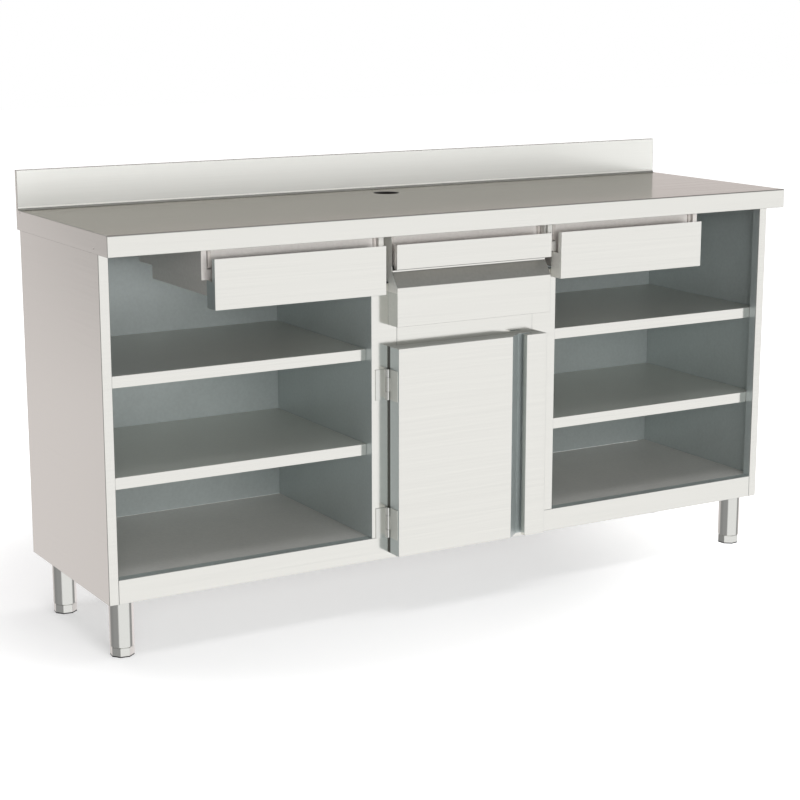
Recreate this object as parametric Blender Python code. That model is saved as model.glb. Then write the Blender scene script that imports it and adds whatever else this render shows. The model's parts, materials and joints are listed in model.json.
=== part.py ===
"""Stainless steel counter for a coffee machine, with shelf bays, drawers and a waste cabinet.

Metres, +Z up. X runs along the counter, -Y is the front, and the origin lies on the floor under the
middle of the worktop. Every sheet, drawer, rail, hinge and leg is an object of its own. Moving pieces
hang on an empty that stands on their joint's axis.
"""
import math

import bmesh
import bpy
from mathutils import Matrix, Vector

# Overall size and sheet
LENGTH = 2.000
DEPTH = 0.600
WORKTOP_HEIGHT = 1.035
SHEET = 0.0015
GAP = 0.0003

# Worktop and its board
WORKTOP_SHEET = 0.002
APRON = 0.050
NOSE_RADIUS = 0.003
COVE_RADIUS = 0.008
UPSTAND_HEIGHT = 0.100
UPSTAND_DEPTH = 0.012
BOARD = 0.018
CABLE_HOLE_RADIUS = 0.035
CABLE_HOLE_X = 0.004
CABLE_HOLE_FROM_REAR = 0.120

# Carcass
END_INSET = 0.003
FRONT_SETBACK = 0.066
REAR_INSET = 0.012
LEG_CLEARANCE = 0.1445
RAIL_HEIGHT = 0.060
RAIL_FOOT_LIP = 0.022
SIDE_FLANGE = 0.025
LIP = 0.027
FLOOR_FOLD = 0.040
DIVIDER_HALF = 0.2795
DIVIDER_FLANGE = 0.074
CROSS_LIP = 0.019
SHELF_FOLD = 0.029
UPPER_SHELF_DROP = 0.342
LOWER_SHELF_DROP = 0.587

# Drawers
FRONT_PROJECTION = 0.046
FRONT_REVEAL = 0.0245
FRONT_WIDTH = 0.4636
FRONT_HEIGHT = 0.122
CENTRE_FRONT_HEIGHT = 0.062
CENTRE_GRIP_INSET = 0.0165
CENTRE_GRIP_FOLD = 0.0465
BOX_WIDTH = 0.4405
BOX_DEPTH = 0.350
BOX_HEIGHT = 0.119
CENTRE_BOX_HEIGHT = 0.080
BOX_SHEET = 0.0012
BOX_TOP_CLEARANCE = 0.003
BOX_RUN_CLEARANCE = 0.004
KNOCK_BAR_RADIUS = 0.016
KNOCK_BAR_DROP = 0.042
KNOCK_OPENING_MARGIN = 0.032

# Drawer slides and hangers
SLIDE_SPACE = 0.013
SLIDE_HEIGHT = 0.0457
SLIDE_DROP = 0.003
SLIDE_SHEET = 0.0012
SLIDE_LENGTH = 0.350
SLIDE_FRONT_INSET = 0.002
SLIDE_FIXED_REACH = 0.0077
SLIDE_MOVING_REACH = 0.0101
HANGER_WIDTH = 0.0145
HANGER_LIP_HEIGHT = 0.0249
HANGER_LIP_DROP = 0.0017
HANGER_LEAD = 0.006
HANGER_TAIL = 0.014
HANGER_SPACE = 0.016
GRIP_DROP = 0.0117

# Casing, hopper and chute
CASING_HALF = 0.231
CASING_LEAD = 0.018
SLOPE_DROP = 0.0095
SLOPE_HEIGHT = 0.0363
HOPPER_HEIGHT = 0.0987
CHUTE_DROP = 0.017
CHUTE_COLLAR = 0.025
CHUTE_HEIGHT = 0.180
CHUTE_FRONT_CLEARANCE = 0.002
OUTLET_LENGTH = 0.240
OUTLET_DEPTH = 0.200

# Door and hinges
DOOR_DROP = 0.335
DOOR_THICKNESS = 0.050
DOOR_OVERLAP_LEFT = 0.024
DOOR_OVERLAP_RIGHT = 0.014
DOOR_OVERLAP_TOP = 0.017
DOOR_OVERLAP_BOTTOM = 0.0445
DOOR_PAN_FOLD = 0.012
GRIP_STRIP_WIDTH = 0.0625
GRIP_STRIP_DEPTH = 0.018
GRIP_MOUTH = 0.044
GRIP_DEPTH = 0.032
GRIP_FLOOR_LEAD = 0.007
GRIP_HOOK = 0.028
HINGE_HEIGHT = 0.079
HINGE_END_KNUCKLE = 0.021
HINGE_LEAF = 0.002
HINGE_FRAME_LEAF_LENGTH = 0.034
HINGE_DOOR_LEAF_LENGTH = 0.041
HINGE_NOTCH = 0.0055
KNUCKLE_RADIUS = 0.005
PIN_RADIUS = 0.0025
HINGE_TOP_INSET = 0.0575
HINGE_BOTTOM_INSET = 0.043
CATCH_WIDTH = 0.019
CATCH_DEPTH = 0.0255
CATCH_HEIGHT = 0.070

# Legs and feet
LEG_RADIUS = 0.030
LEG_WALL = 0.002
LEG_END_INSET = 0.053
LEG_FRONT_CLEARANCE = 0.002
LEG_REAR_INSET = 0.086
LEG_PLATE = 0.084
LEG_PLATE_THICKNESS = 0.003
LEG_PLUG = 0.0205
FOOT_HEIGHT = 0.0245
FOOT_RADIUS = 0.0298
FOOT_CHAMFER = 0.0015
FOOT_TURN = math.radians(15.0)
RIGHT_FRONT_FOOT_TURN = math.radians(29.0)
STUD_RADIUS = 0.008
STUD_LENGTH = 0.045

# Heights worked out from the sizes above
TOP = WORKTOP_HEIGHT
FRONT = -DEPTH / 2
REAR = DEPTH / 2
APRON_BOTTOM = TOP - APRON
BOARD_TOP = TOP - WORKTOP_SHEET - GAP
BOARD_BOTTOM = BOARD_TOP - BOARD
HUNG_TOP = BOARD_BOTTOM - GAP
FLOOR_TOP = LEG_CLEARANCE + RAIL_HEIGHT
DOOR_TOP = TOP - DOOR_DROP
DOOR_BOTTOM = FLOOR_TOP - DOOR_OVERLAP_BOTTOM
FRONT_TOP = APRON_BOTTOM - FRONT_REVEAL
BOX_TOP = APRON_BOTTOM - BOX_TOP_CLEARANCE
BOX_BOTTOM = BOX_TOP - BOX_HEIGHT
CENTRE_BOX_BOTTOM = BOX_TOP - CENTRE_BOX_HEIGHT
DIVIDER_TOP = BOX_BOTTOM - BOX_RUN_CLEARANCE
SLIDE_TOP = BOX_TOP - SLIDE_DROP
SLIDE_BOTTOM = SLIDE_TOP - SLIDE_HEIGHT
HANGER_LIP_TOP = SLIDE_BOTTOM - HANGER_LIP_DROP
HANGER_BOTTOM = HANGER_LIP_TOP - HANGER_LIP_HEIGHT

# Depths worked out from the sizes above
BODY_FRONT = FRONT + FRONT_SETBACK
BODY_REAR = REAR - REAR_INSET
LIP_REAR = BODY_FRONT + LIP
INNER_FRONT = LIP_REAR + GAP
INNER_REAR = BODY_REAR - SHEET - GAP
BACK_FACE = INNER_REAR - SHEET
BACK_SEAT = BACK_FACE - GAP
DRAWER_FACE = BODY_FRONT - FRONT_PROJECTION
DRAWER_SEAT = BODY_FRONT - GAP
BOX_REAR = BODY_FRONT + BOX_DEPTH
HANGER_FRONT = BODY_FRONT - HANGER_LEAD
HANGER_REAR = BOX_REAR + HANGER_TAIL
LEG_FRONT_Y = BODY_FRONT + RAIL_FOOT_LIP + LEG_FRONT_CLEARANCE + LEG_RADIUS

# Widths worked out from the sizes above
BODY_END = LENGTH / 2 - END_INSET
INNER_END = BODY_END - SHEET - GAP
DIVIDER_SEAT = DIVIDER_HALF + GAP
OPENING_HALF = DIVIDER_HALF - DIVIDER_FLANGE
CHEEK_FACE = CASING_HALF - SHEET
CENTRE_BOX_HALF = CHEEK_FACE - SLIDE_SPACE
HANGER_FACE = BOX_WIDTH / 2 + SLIDE_SPACE
HANGER_OUTER = HANGER_FACE + HANGER_WIDTH
DRAWER_PITCH = CASING_HALF + HANGER_SPACE + HANGER_OUTER
DOOR_LEFT = -OPENING_HALF - DOOR_OVERLAP_LEFT
DOOR_RIGHT = OPENING_HALF + DOOR_OVERLAP_RIGHT
DOOR_FACE = BODY_FRONT - DOOR_THICKNESS
HINGE_X = DOOR_LEFT - GAP - KNUCKLE_RADIUS
HINGE_Y = BODY_FRONT - GAP - KNUCKLE_RADIUS

# A cutter runs this far past the face that it opens
PAST = 0.020
ROUND_SIDES = 24
SMALL_SIDES = 16
ARC_STEPS = 6
SMOOTH_ANGLE = math.radians(35.0)

SIDES = (("left", -1), ("right", 1))
DRAWERS = (("left", -DRAWER_PITCH), ("centre", 0.0), ("right", DRAWER_PITCH))

STEEL = ((0.62, 0.61, 0.59), 0.32, 1.0)
ZINC = ((0.55, 0.56, 0.57), 0.40, 1.0)
BOARD_WOOD = ((0.35, 0.25, 0.16), 0.75, 0.0)
BLACK_RUBBER = ((0.02, 0.02, 0.02), 0.80, 0.0)
GREY_PLASTIC = ((0.10, 0.10, 0.10), 0.55, 0.0)


def finish(obj, look):
    """Give the object a material of its own from a colour, a roughness and a metallic value."""
    colour, roughness, metallic = look
    material = bpy.data.materials.new(obj.name)
    material.use_nodes = True
    shader = material.node_tree.nodes["Principled BSDF"]
    shader.inputs["Base Color"].default_value = (*colour, 1.0)
    shader.inputs["Roughness"].default_value = roughness
    shader.inputs["Metallic"].default_value = metallic
    obj.data.materials.clear()
    obj.data.materials.append(material)
    return obj


def make_object(name, bm):
    """Close a bmesh into a named object whose faces point outwards."""
    bmesh.ops.recalc_face_normals(bm, faces=bm.faces[:])
    mesh = bpy.data.meshes.new(name)
    bm.to_mesh(mesh)
    bm.free()
    mesh.shade_smooth()
    mesh.set_sharp_from_angle(angle=SMOOTH_ANGLE)
    obj = bpy.data.objects.new(name, mesh)
    bpy.context.collection.objects.link(obj)
    return obj


def in_space(axis, along, point):
    """Point of an outline drawn square to an axis: (y, z) on X, (x, z) on Y and (x, y) on Z."""
    first, second = point
    if axis == "X":
        return Vector((along, first, second))
    if axis == "Y":
        return Vector((first, along, second))
    return Vector((first, second, along))


def prism(name, outline, axis, start, end):
    """Extrude a closed outline along an axis."""
    bm = bmesh.new()
    face = bm.faces.new([bm.verts.new(in_space(axis, start, point)) for point in outline])
    grown = bmesh.ops.extrude_face_region(bm, geom=[face])["geom"]
    moved = [item for item in grown if isinstance(item, bmesh.types.BMVert)]
    bmesh.ops.translate(bm, verts=moved, vec=in_space(axis, end - start, (0.0, 0.0)))
    return make_object(name, bm)


def rectangle(low, high):
    return [(low[0], low[1]), (high[0], low[1]), (high[0], high[1]), (low[0], high[1])]


def box(name, low, high):
    """Block between two opposite corners."""
    return prism(name, rectangle(low[:2], high[:2]), "Z", low[2], high[2])


def pan(name, low, high, opening, thickness):
    """Folded tray: a block whose open face is inset by the sheet and pushed in to the far sheet."""
    bm = bmesh.new()
    low, high = Vector(low), Vector(high)
    bmesh.ops.create_cube(bm, size=1.0)
    size = high - low
    bmesh.ops.scale(bm, vec=size, verts=bm.verts[:])
    bmesh.ops.translate(bm, vec=(low + high) / 2, verts=bm.verts[:])
    outwards = Vector(opening)
    bm.normal_update()
    face = max(bm.faces, key=lambda item: item.normal.dot(outwards))
    bmesh.ops.inset_region(bm, faces=[face], thickness=thickness, use_even_offset=True)
    reach = abs(size.dot(outwards)) - thickness
    bmesh.ops.inset_region(bm, faces=[face], thickness=0.0, depth=-reach)
    return make_object(name, bm)


def ring(sides, radius, height, centre=(0.0, 0.0)):
    """Circle of points about a vertical axis."""
    turns = [2 * math.pi * step / sides for step in range(sides)]
    return [Vector((centre[0] + radius * math.cos(turn), centre[1] + radius * math.sin(turn), height))
            for turn in turns]


def octagon_ring(radius, height):
    """Octagon with its mid-sides as points too, so that it joins a ring of SMALL_SIDES points."""
    eighth = math.pi / 4
    points = []
    for step in range(SMALL_SIDES):
        turn = 2 * math.pi * step / SMALL_SIDES
        reach = radius * math.cos(eighth / 2) / math.cos(turn % eighth - eighth / 2)
        points.append(Vector((reach * math.cos(turn), reach * math.sin(turn), height)))
    return points


def joined_rings(name, rings, closed):
    """Skin over rings of equal count: capped at both ends, or closed round like a tube's wall."""
    bm = bmesh.new()
    loops = [[bm.verts.new(point) for point in points] for points in rings]
    count = len(loops[0])
    pairs = list(zip(loops, loops[1:]))
    if closed:
        pairs.append((loops[-1], loops[0]))
    else:
        bm.faces.new(loops[0])
        bm.faces.new(loops[-1])
    for first, second in pairs:
        for step in range(count):
            after = (step + 1) % count
            bm.faces.new((first[step], first[after], second[after], second[step]))
    return make_object(name, bm)


def cylinder(name, centre, radius, low, high, sides):
    return joined_rings(name, [ring(sides, radius, low, centre), ring(sides, radius, high, centre)], False)


def offset_path(path, thickness):
    """The path moved to its left, with mitred corners."""
    points = [Vector(point) for point in path]
    normals = []
    for start, end in zip(points, points[1:]):
        along = (end - start).normalized()
        normals.append(Vector((-along.y, along.x)))
    before = [normals[0]] + normals
    after = normals + [normals[-1]]
    moved = []
    for point, first, second in zip(points, before, after):
        shift = (first + second) / (1 + first.dot(second)) * thickness
        moved.append((point.x + shift.x, point.y + shift.y))
    return moved


def folded(path, thickness):
    """Outline of a bent sheet with one face on the path and the other to its left."""
    return list(path) + offset_path(path, thickness)[::-1]


def arc(centre, radius, start, end, steps):
    """Points along an arc, in degrees, with both ends."""
    points = []
    for step in range(steps + 1):
        turn = math.radians(start + (end - start) * step / steps)
        points.append((centre[0] + radius * math.cos(turn), centre[1] + radius * math.sin(turn)))
    return points


def mirrored(outline, side):
    return [(side * point[0], point[1]) for point in outline]


def cut(target, *cutters):
    """Take the cutters out of the target and remove them."""
    return combine(target, "DIFFERENCE", cutters)


def fuse(target, *others):
    return combine(target, "UNION", others)


def combine(target, operation, others):
    for other in others:
        modifier = target.modifiers.new(operation.title(), "BOOLEAN")
        modifier.operation = operation
        modifier.solver = "EXACT"
        modifier.object = other
    bpy.context.view_layer.update()
    shaped = target.evaluated_get(bpy.context.evaluated_depsgraph_get())
    before = target.data
    target.data = bpy.data.meshes.new_from_object(shaped)
    target.modifiers.clear()
    target.data.name = target.name
    bpy.data.meshes.remove(before)
    for other in others:
        bpy.data.objects.remove(other)
    target.data.shade_smooth()
    target.data.set_sharp_from_angle(angle=SMOOTH_ANGLE)
    return target


def make_empty(name, place):
    empty = bpy.data.objects.new(name, None)
    empty.location = place
    bpy.context.collection.objects.link(empty)
    return empty


def hang(pieces, empty):
    """Parent pieces that were drawn in place to an empty, and keep them where they are."""
    for piece in pieces:
        piece.data.transform(Matrix.Translation(-empty.location))
        piece.parent = empty


def worktop():
    """Folded worktop with a front nose, a rear upstand and a hole for cables."""
    nose = arc((FRONT + NOSE_RADIUS, TOP - NOSE_RADIUS), NOSE_RADIUS, 180, 90, ARC_STEPS)
    face = REAR - UPSTAND_DEPTH
    cove_centre = (face - COVE_RADIUS, TOP + COVE_RADIUS)
    cove = arc(cove_centre, COVE_RADIUS, -90, 0, ARC_STEPS)
    crest = TOP + UPSTAND_HEIGHT
    outer = [(FRONT, APRON_BOTTOM), *nose, *cove, (face, crest), (REAR, crest), (REAR, APRON_BOTTOM)]
    inside = WORKTOP_SHEET
    below = APRON_BOTTOM - PAST
    under_cove = arc(cove_centre, COVE_RADIUS + inside, -90, 0, ARC_STEPS)
    hollow = [(FRONT + inside, below), (FRONT + inside, TOP - inside), *under_cove,
              (face + inside, crest - inside), (REAR - inside, crest - inside), (REAR - inside, below)]
    end = LENGTH / 2
    shell = prism("worktop", outer, "X", -end, end)
    cavity = prism("worktop_hollow", hollow, "X", inside - end, end - inside)
    return cut(shell, cavity, cable_hole())


def cable_hole():
    centre = (CABLE_HOLE_X, REAR - CABLE_HOLE_FROM_REAR)
    return cylinder("cable_hole", centre, CABLE_HOLE_RADIUS, BOARD_BOTTOM - PAST, TOP + PAST, 2 * ROUND_SIDES)


def worktop_board():
    """Board that stiffens the worktop from below."""
    margin = WORKTOP_SHEET + GAP
    end = LENGTH / 2 - margin
    board = box("worktop_board", (-end, FRONT + margin, BOARD_BOTTOM), (end, REAR - margin, BOARD_TOP))
    return cut(board, cable_hole())


def upright(name, side, outer, flange, rear, bottom, top):
    """Wall with a folded front flange and lip and a rear flange, drawn for the right and mirrored."""
    path = [(outer - flange, LIP_REAR), (outer - flange, BODY_FRONT), (outer, BODY_FRONT), (outer, rear),
            (outer - SIDE_FLANGE, rear)]
    return prism(name, mirrored(folded(path, SHEET), side), "Z", bottom, top)


def carcass():
    """End panels, dividers, back, base and shelves."""
    on_floor = FLOOR_TOP + GAP
    pieces = []
    for word, side in SIDES:
        pieces.append(upright(f"side_panel_{word}", side, BODY_END, SIDE_FLANGE, BODY_REAR, LEG_CLEARANCE,
                              HUNG_TOP))
        pieces.append(upright(f"divider_{word}", side, DIVIDER_HALF, DIVIDER_FLANGE, BACK_SEAT, on_floor,
                              DIVIDER_TOP))
    pieces.append(box("back_panel", (-INNER_END, BACK_FACE, on_floor), (INNER_END, INNER_REAR, HUNG_TOP)))
    rail_end = BODY_END - SIDE_FLANGE - GAP
    rail = [(LIP_REAR, FLOOR_TOP), (BODY_FRONT, FLOOR_TOP), (BODY_FRONT, LEG_CLEARANCE),
            (BODY_FRONT + RAIL_FOOT_LIP, LEG_CLEARANCE)]
    pieces.append(prism("base_rail", folded(rail, SHEET), "X", -rail_end, rail_end))
    floor = [(INNER_REAR, FLOOR_TOP - FLOOR_FOLD), (INNER_REAR, FLOOR_TOP), (INNER_FRONT, FLOOR_TOP)]
    pieces.append(prism("base_floor", folded(floor, SHEET), "X", -INNER_END, INNER_END))
    for level, drop in (("upper", UPPER_SHELF_DROP), ("lower", LOWER_SHELF_DROP)):
        for word, side in SIDES:
            ends = sorted((side * DIVIDER_SEAT, side * INNER_END))
            low = (ends[0], INNER_FRONT, TOP - drop - SHELF_FOLD)
            high = (ends[1], BACK_SEAT, TOP - drop)
            pieces.append(pan(f"shelf_{word}_{level}", low, high, (0, 0, -1), SHEET))
    pieces.append(front_cross_panel())
    return pieces


def front_cross_panel():
    """Panel between the divider flanges, over the door."""
    bottom = DOOR_TOP - DOOR_OVERLAP_TOP
    rear = BODY_FRONT + CROSS_LIP
    path = [(rear, DIVIDER_TOP), (BODY_FRONT, DIVIDER_TOP), (BODY_FRONT, bottom), (rear, bottom)]
    end = OPENING_HALF - GAP
    return prism("front_cross_panel", folded(path, SHEET), "X", -end, end)


def centre_casing():
    """Cheeks of the centre drawer, with the sloped plate and the hopper front between them."""
    lead = BODY_FRONT - CASING_LEAD
    slope_top = FRONT_TOP - CENTRE_FRONT_HEIGHT - SLOPE_DROP
    slope_bottom = slope_top - SLOPE_HEIGHT
    hopper_bottom = slope_bottom - HOPPER_HEIGHT
    cheek_bottom = DIVIDER_TOP + BOX_RUN_CLEARANCE
    front = [(lead, slope_top), (DRAWER_FACE, slope_bottom), (DRAWER_FACE, hopper_bottom),
             (DRAWER_SEAT, hopper_bottom)]
    outer = front + [(DRAWER_SEAT, cheek_bottom), (HANGER_REAR, cheek_bottom), (HANGER_REAR, HUNG_TOP),
                     (lead, HUNG_TOP)]
    inner = offset_path(front, SHEET)
    behind = DRAWER_SEAT + PAST
    under = cheek_bottom - PAST
    rear = HANGER_REAR - SHEET
    over = HUNG_TOP + PAST
    hollow = [(lead - PAST, inner[0][1]), *inner[:3], (behind, inner[2][1]), (behind, under), (rear, under),
              (rear, over), (lead - PAST, over)]
    shell = prism("centre_casing", outer, "X", -CASING_HALF, CASING_HALF)
    return cut(shell, prism("casing_hollow", hollow, "X", -CHEEK_FACE, CHEEK_FACE))


def chute():
    """Funnel under the knock-out drawer: a collar between the cheeks, tapering to an outlet."""
    top = CENTRE_BOX_BOTTOM - CHUTE_DROP
    half = CHEEK_FACE - GAP
    front = LIP_REAR + CHUTE_FRONT_CLEARANCE
    rear = HANGER_REAR - SHEET - GAP
    middle = (front + rear) / 2

    def level(inset, height, outlet):
        if outlet:
            ends = (OUTLET_LENGTH / 2, middle - OUTLET_DEPTH / 2, middle + OUTLET_DEPTH / 2)
        else:
            ends = (half, front, rear)
        corners = rectangle((inset - ends[0], ends[1] + inset), (ends[0] - inset, ends[2] - inset))
        return [Vector((*corner, height)) for corner in corners]

    shoulder = top - CHUTE_COLLAR
    bottom = top - CHUTE_HEIGHT
    rings = [level(0.0, top, False), level(0.0, shoulder, False), level(0.0, bottom, True),
             level(SHEET, bottom, True), level(SHEET, shoulder, False), level(SHEET, top, False)]
    return joined_rings("chute", rings, True)


def hanger(name, centre, side):
    """Hollow runner that hangs from the board beside a drawer, with a lip under its slide."""
    face, lip, back = HANGER_FACE, BOX_WIDTH / 2 + GAP, HANGER_OUTER
    outline = [(back, HUNG_TOP), (face, HUNG_TOP), (face, HANGER_LIP_TOP), (lip, HANGER_LIP_TOP),
               (lip, HANGER_BOTTOM), (back, HANGER_BOTTOM)]

    def drawn(label, points, start, end):
        placed = [(centre + x, z) for x, z in mirrored(points, side)]
        return prism(label, placed, "Y", start, end)

    inside = HANGER_FRONT + SHEET
    beyond = HANGER_REAR + PAST
    plate = HANGER_BOTTOM + SHEET
    tube = rectangle((face + SHEET, plate), (back - SHEET, HUNG_TOP + PAST))
    shelf = rectangle((lip - PAST, plate), (face, HANGER_LIP_TOP + GAP))
    body = drawn(name, outline, HANGER_FRONT, HANGER_REAR)
    return cut(body, drawn("hanger_tube", tube, inside, beyond), drawn("hanger_shelf", shelf, inside, beyond))


def hangers():
    pieces = []
    for word, centre in DRAWERS:
        if word != "centre":
            for hand, side in SIDES:
                pieces.append(hanger(f"hanger_{word}_{hand}", centre, side))
    return pieces


def slide_rail(name, centre, side, seat, reach, height, into):
    """C rail screwed to the face at seat, its open side turned along into (-1 is towards the drawer)."""
    middle = SLIDE_TOP - SLIDE_HEIGHT / 2
    back = seat + into * GAP
    edge = back + into * reach
    path = [(edge, middle + height / 2), (back, middle + height / 2), (back, middle - height / 2),
            (edge, middle - height / 2)]
    if into < 0:
        path.reverse()
    placed = [(centre + x, z) for x, z in mirrored(folded(path, SLIDE_SHEET), side)]
    start = BODY_FRONT - SLIDE_FRONT_INSET
    return prism(name, placed, "Y", start, start + SLIDE_LENGTH)


def slides(word, centre, fixed_face, box_face):
    """The fixed and the moving rails of a drawer."""
    inner_height = SLIDE_HEIGHT - 2 * (SLIDE_SHEET + GAP)
    fixed, moving = [], []
    for hand, side in SIDES:
        fixed.append(slide_rail(f"slide_fixed_{word}_{hand}", centre, side, fixed_face, SLIDE_FIXED_REACH,
                                SLIDE_HEIGHT, -1))
        moving.append(slide_rail(f"slide_moving_{word}_{hand}", centre, side, box_face, SLIDE_MOVING_REACH,
                                 inner_height, 1))
    return fixed, moving


def drawer_box(name, centre, half, bottom):
    low = (centre - half, BODY_FRONT, bottom)
    return pan(name, low, (centre + half, BOX_REAR, BOX_TOP), (0, 0, 1), BOX_SHEET)


def drawer_front(word, centre):
    """Overlay front with a trough along its bottom edge that seats on the box."""
    half = FRONT_WIDTH / 2
    bottom = FRONT_TOP - FRONT_HEIGHT
    rim = HANGER_BOTTOM - GRIP_DROP
    inside = DRAWER_FACE + SHEET
    outline = [(DRAWER_FACE, FRONT_TOP), (DRAWER_FACE, bottom), (DRAWER_SEAT, bottom), (DRAWER_SEAT, rim),
               (inside, rim), (inside, FRONT_TOP)]
    front = prism(f"drawer_front_{word}", outline, "X", centre - half, centre + half)
    trough = box("trough", (centre - half + SHEET, inside, bottom + SHEET),
                 (centre + half - SHEET, DRAWER_SEAT - SHEET, rim + PAST))
    return cut(front, trough)


def centre_front():
    """Overlay front of the knock-out drawer, folded back under itself between the cheeks."""
    half = FRONT_WIDTH / 2
    bottom = FRONT_TOP - CENTRE_FRONT_HEIGHT
    path = [(DRAWER_FACE, FRONT_TOP), (DRAWER_FACE, bottom), (DRAWER_SEAT, bottom),
            (DRAWER_SEAT, bottom + CENTRE_GRIP_FOLD)]
    front = prism("drawer_front_centre", folded(path, SHEET), "X", -half, half)
    corners = []
    for side in (-1, 1):
        ends = sorted((side * (half - CENTRE_GRIP_INSET), side * (half + PAST)))
        low = (ends[0], DRAWER_FACE + SHEET, bottom - PAST)
        high = (ends[1], DRAWER_SEAT + PAST, FRONT_TOP + PAST)
        corners.append(box("grip_corner", low, high))
    return cut(front, *corners)


def knock_bar():
    """Bar across the knock-out drawer, between the box sides."""
    reach = CENTRE_BOX_HALF - BOX_SHEET - GAP
    bar = cylinder("knock_bar", (0.0, 0.0), KNOCK_BAR_RADIUS, -reach, reach, SMALL_SIDES)
    place = Matrix.Translation((0.0, BODY_FRONT + BOX_DEPTH / 2, BOX_TOP - KNOCK_BAR_DROP))
    bar.data.transform(place @ Matrix.Rotation(math.pi / 2, 4, "Y"))
    return bar


def drawers():
    """The three drawers: what stays with the counter, and what slides for each of them."""
    fixed, moving = [], {}
    for word, centre in DRAWERS:
        if word == "centre":
            rails, runners = slides(word, centre, CHEEK_FACE, CENTRE_BOX_HALF)
            tray = drawer_box("drawer_box_centre", centre, CENTRE_BOX_HALF, CENTRE_BOX_BOTTOM)
            margin = KNOCK_OPENING_MARGIN
            low = (margin - CENTRE_BOX_HALF, BODY_FRONT + margin, CENTRE_BOX_BOTTOM - PAST)
            high = (CENTRE_BOX_HALF - margin, BOX_REAR - margin, CENTRE_BOX_BOTTOM + PAST)
            cut(tray, box("knock_opening", low, high))
            pieces = [tray, centre_front(), finish(knock_bar(), BLACK_RUBBER)]
        else:
            rails, runners = slides(word, centre, HANGER_FACE, BOX_WIDTH / 2)
            tray = drawer_box(f"drawer_box_{word}", centre, BOX_WIDTH / 2, BOX_BOTTOM)
            pieces = [tray, drawer_front(word, centre)]
        fixed += [finish(rail, ZINC) for rail in rails]
        moving[word] = pieces + [finish(runner, ZINC) for runner in runners]
    return fixed, moving


def door():
    """Door skin, folded round a full-height finger pull, and the pan that closes its back."""
    rear = BODY_FRONT - GAP
    strip = DOOR_RIGHT - GRIP_STRIP_WIDTH
    strip_back = DOOR_FACE + GRIP_STRIP_DEPTH
    grip_floor = DOOR_FACE + GRIP_DEPTH
    hook = strip + GRIP_HOOK
    path = [(DOOR_LEFT, rear), (DOOR_LEFT, DOOR_FACE), (strip - GRIP_MOUTH, DOOR_FACE),
            (strip - GRIP_FLOOR_LEAD, grip_floor), (hook, grip_floor), (hook, strip_back),
            (strip, strip_back), (strip, DOOR_FACE), (DOOR_RIGHT, DOOR_FACE), (DOOR_RIGHT, rear)]
    inside = offset_path(path, SHEET)
    hollow = [(inside[0][0], rear + PAST), *inside[1:-1], (inside[-1][0], rear + PAST)]
    skin = prism("door_skin", path, "Z", DOOR_BOTTOM, DOOR_TOP)
    cut(skin, prism("door_hollow", hollow, "Z", DOOR_BOTTOM + SHEET, DOOR_TOP - SHEET))
    margin = SHEET + GAP
    low = (DOOR_LEFT + margin, rear - DOOR_PAN_FOLD, DOOR_BOTTOM + margin)
    back = pan("door_pan", low, (DOOR_RIGHT - margin, rear - GAP, DOOR_TOP - margin), (0, -1, 0), SHEET)
    return [skin, back]


def leaf_outline(length):
    """Plan of a hinge leaf about its pin, (along the leaf, square to it): plate and knuckle in one."""
    inner = KNUCKLE_RADIUS - HINGE_LEAF
    meet = math.degrees(math.acos(inner / KNUCKLE_RADIUS))
    knuckle = arc((0.0, 0.0), KNUCKLE_RADIUS, 90 + meet, 450, 2 * ARC_STEPS)
    return [(-length, KNUCKLE_RADIUS), (-length, inner), *knuckle]


def hinge_leaf(name, length, bottom, notches, on_door):
    """Leaf with its knuckles, notched where the other leaf has its own, and bored for the pin."""

    def drawn(label, points, low, high):
        if on_door:
            placed = [(HINGE_X + across, HINGE_Y + along) for along, across in points]
        else:
            placed = [(HINGE_X + along, HINGE_Y + across) for along, across in points]
        return prism(label, placed, "Z", low, high)

    leaf = drawn(name, leaf_outline(length), bottom, bottom + HINGE_HEIGHT)
    clear = KNUCKLE_RADIUS + PAST
    space = rectangle((-HINGE_NOTCH, -clear), (clear, clear))
    cutters = [drawn("notch", space, bottom + low, bottom + high) for low, high in notches]
    bore = cylinder("bore", (HINGE_X, HINGE_Y), PIN_RADIUS + GAP, bottom - PAST, bottom + HINGE_HEIGHT + PAST,
                    SMALL_SIDES)
    return cut(leaf, *cutters, bore)


def hinges():
    """Two butt hinges: leaf on the divider flange, pin, and leaf on the door's edge."""
    first = HINGE_END_KNUCKLE
    second = HINGE_HEIGHT - HINGE_END_KNUCKLE
    middle = [(first - GAP / 2, second + GAP / 2)]
    ends = [(-PAST, first + GAP / 2), (second - GAP / 2, HINGE_HEIGHT + PAST)]
    upper = DOOR_TOP - HINGE_TOP_INSET - HINGE_HEIGHT
    lower = DOOR_BOTTOM + HINGE_BOTTOM_INSET
    fixed, moving = [], []
    for level, bottom in (("upper", upper), ("lower", lower)):
        fixed.append(hinge_leaf(f"hinge_frame_leaf_{level}", HINGE_FRAME_LEAF_LENGTH, bottom, middle, False))
        fixed.append(cylinder(f"hinge_pin_{level}", (HINGE_X, HINGE_Y), PIN_RADIUS, bottom,
                              bottom + HINGE_HEIGHT, SMALL_SIDES))
        moving.append(hinge_leaf(f"hinge_door_leaf_{level}", HINGE_DOOR_LEAF_LENGTH, bottom, ends, True))
    return fixed, moving


def door_catch():
    """Magnetic catch on the right divider's lip, behind the door."""
    middle = (DOOR_TOP + DOOR_BOTTOM) / 2
    right = OPENING_HALF - GAP
    front = BODY_FRONT + GAP
    low = (right - CATCH_WIDTH, front, middle - CATCH_HEIGHT / 2)
    return box("door_catch", low, (right, front + CATCH_DEPTH, middle + CATCH_HEIGHT / 2))


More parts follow.
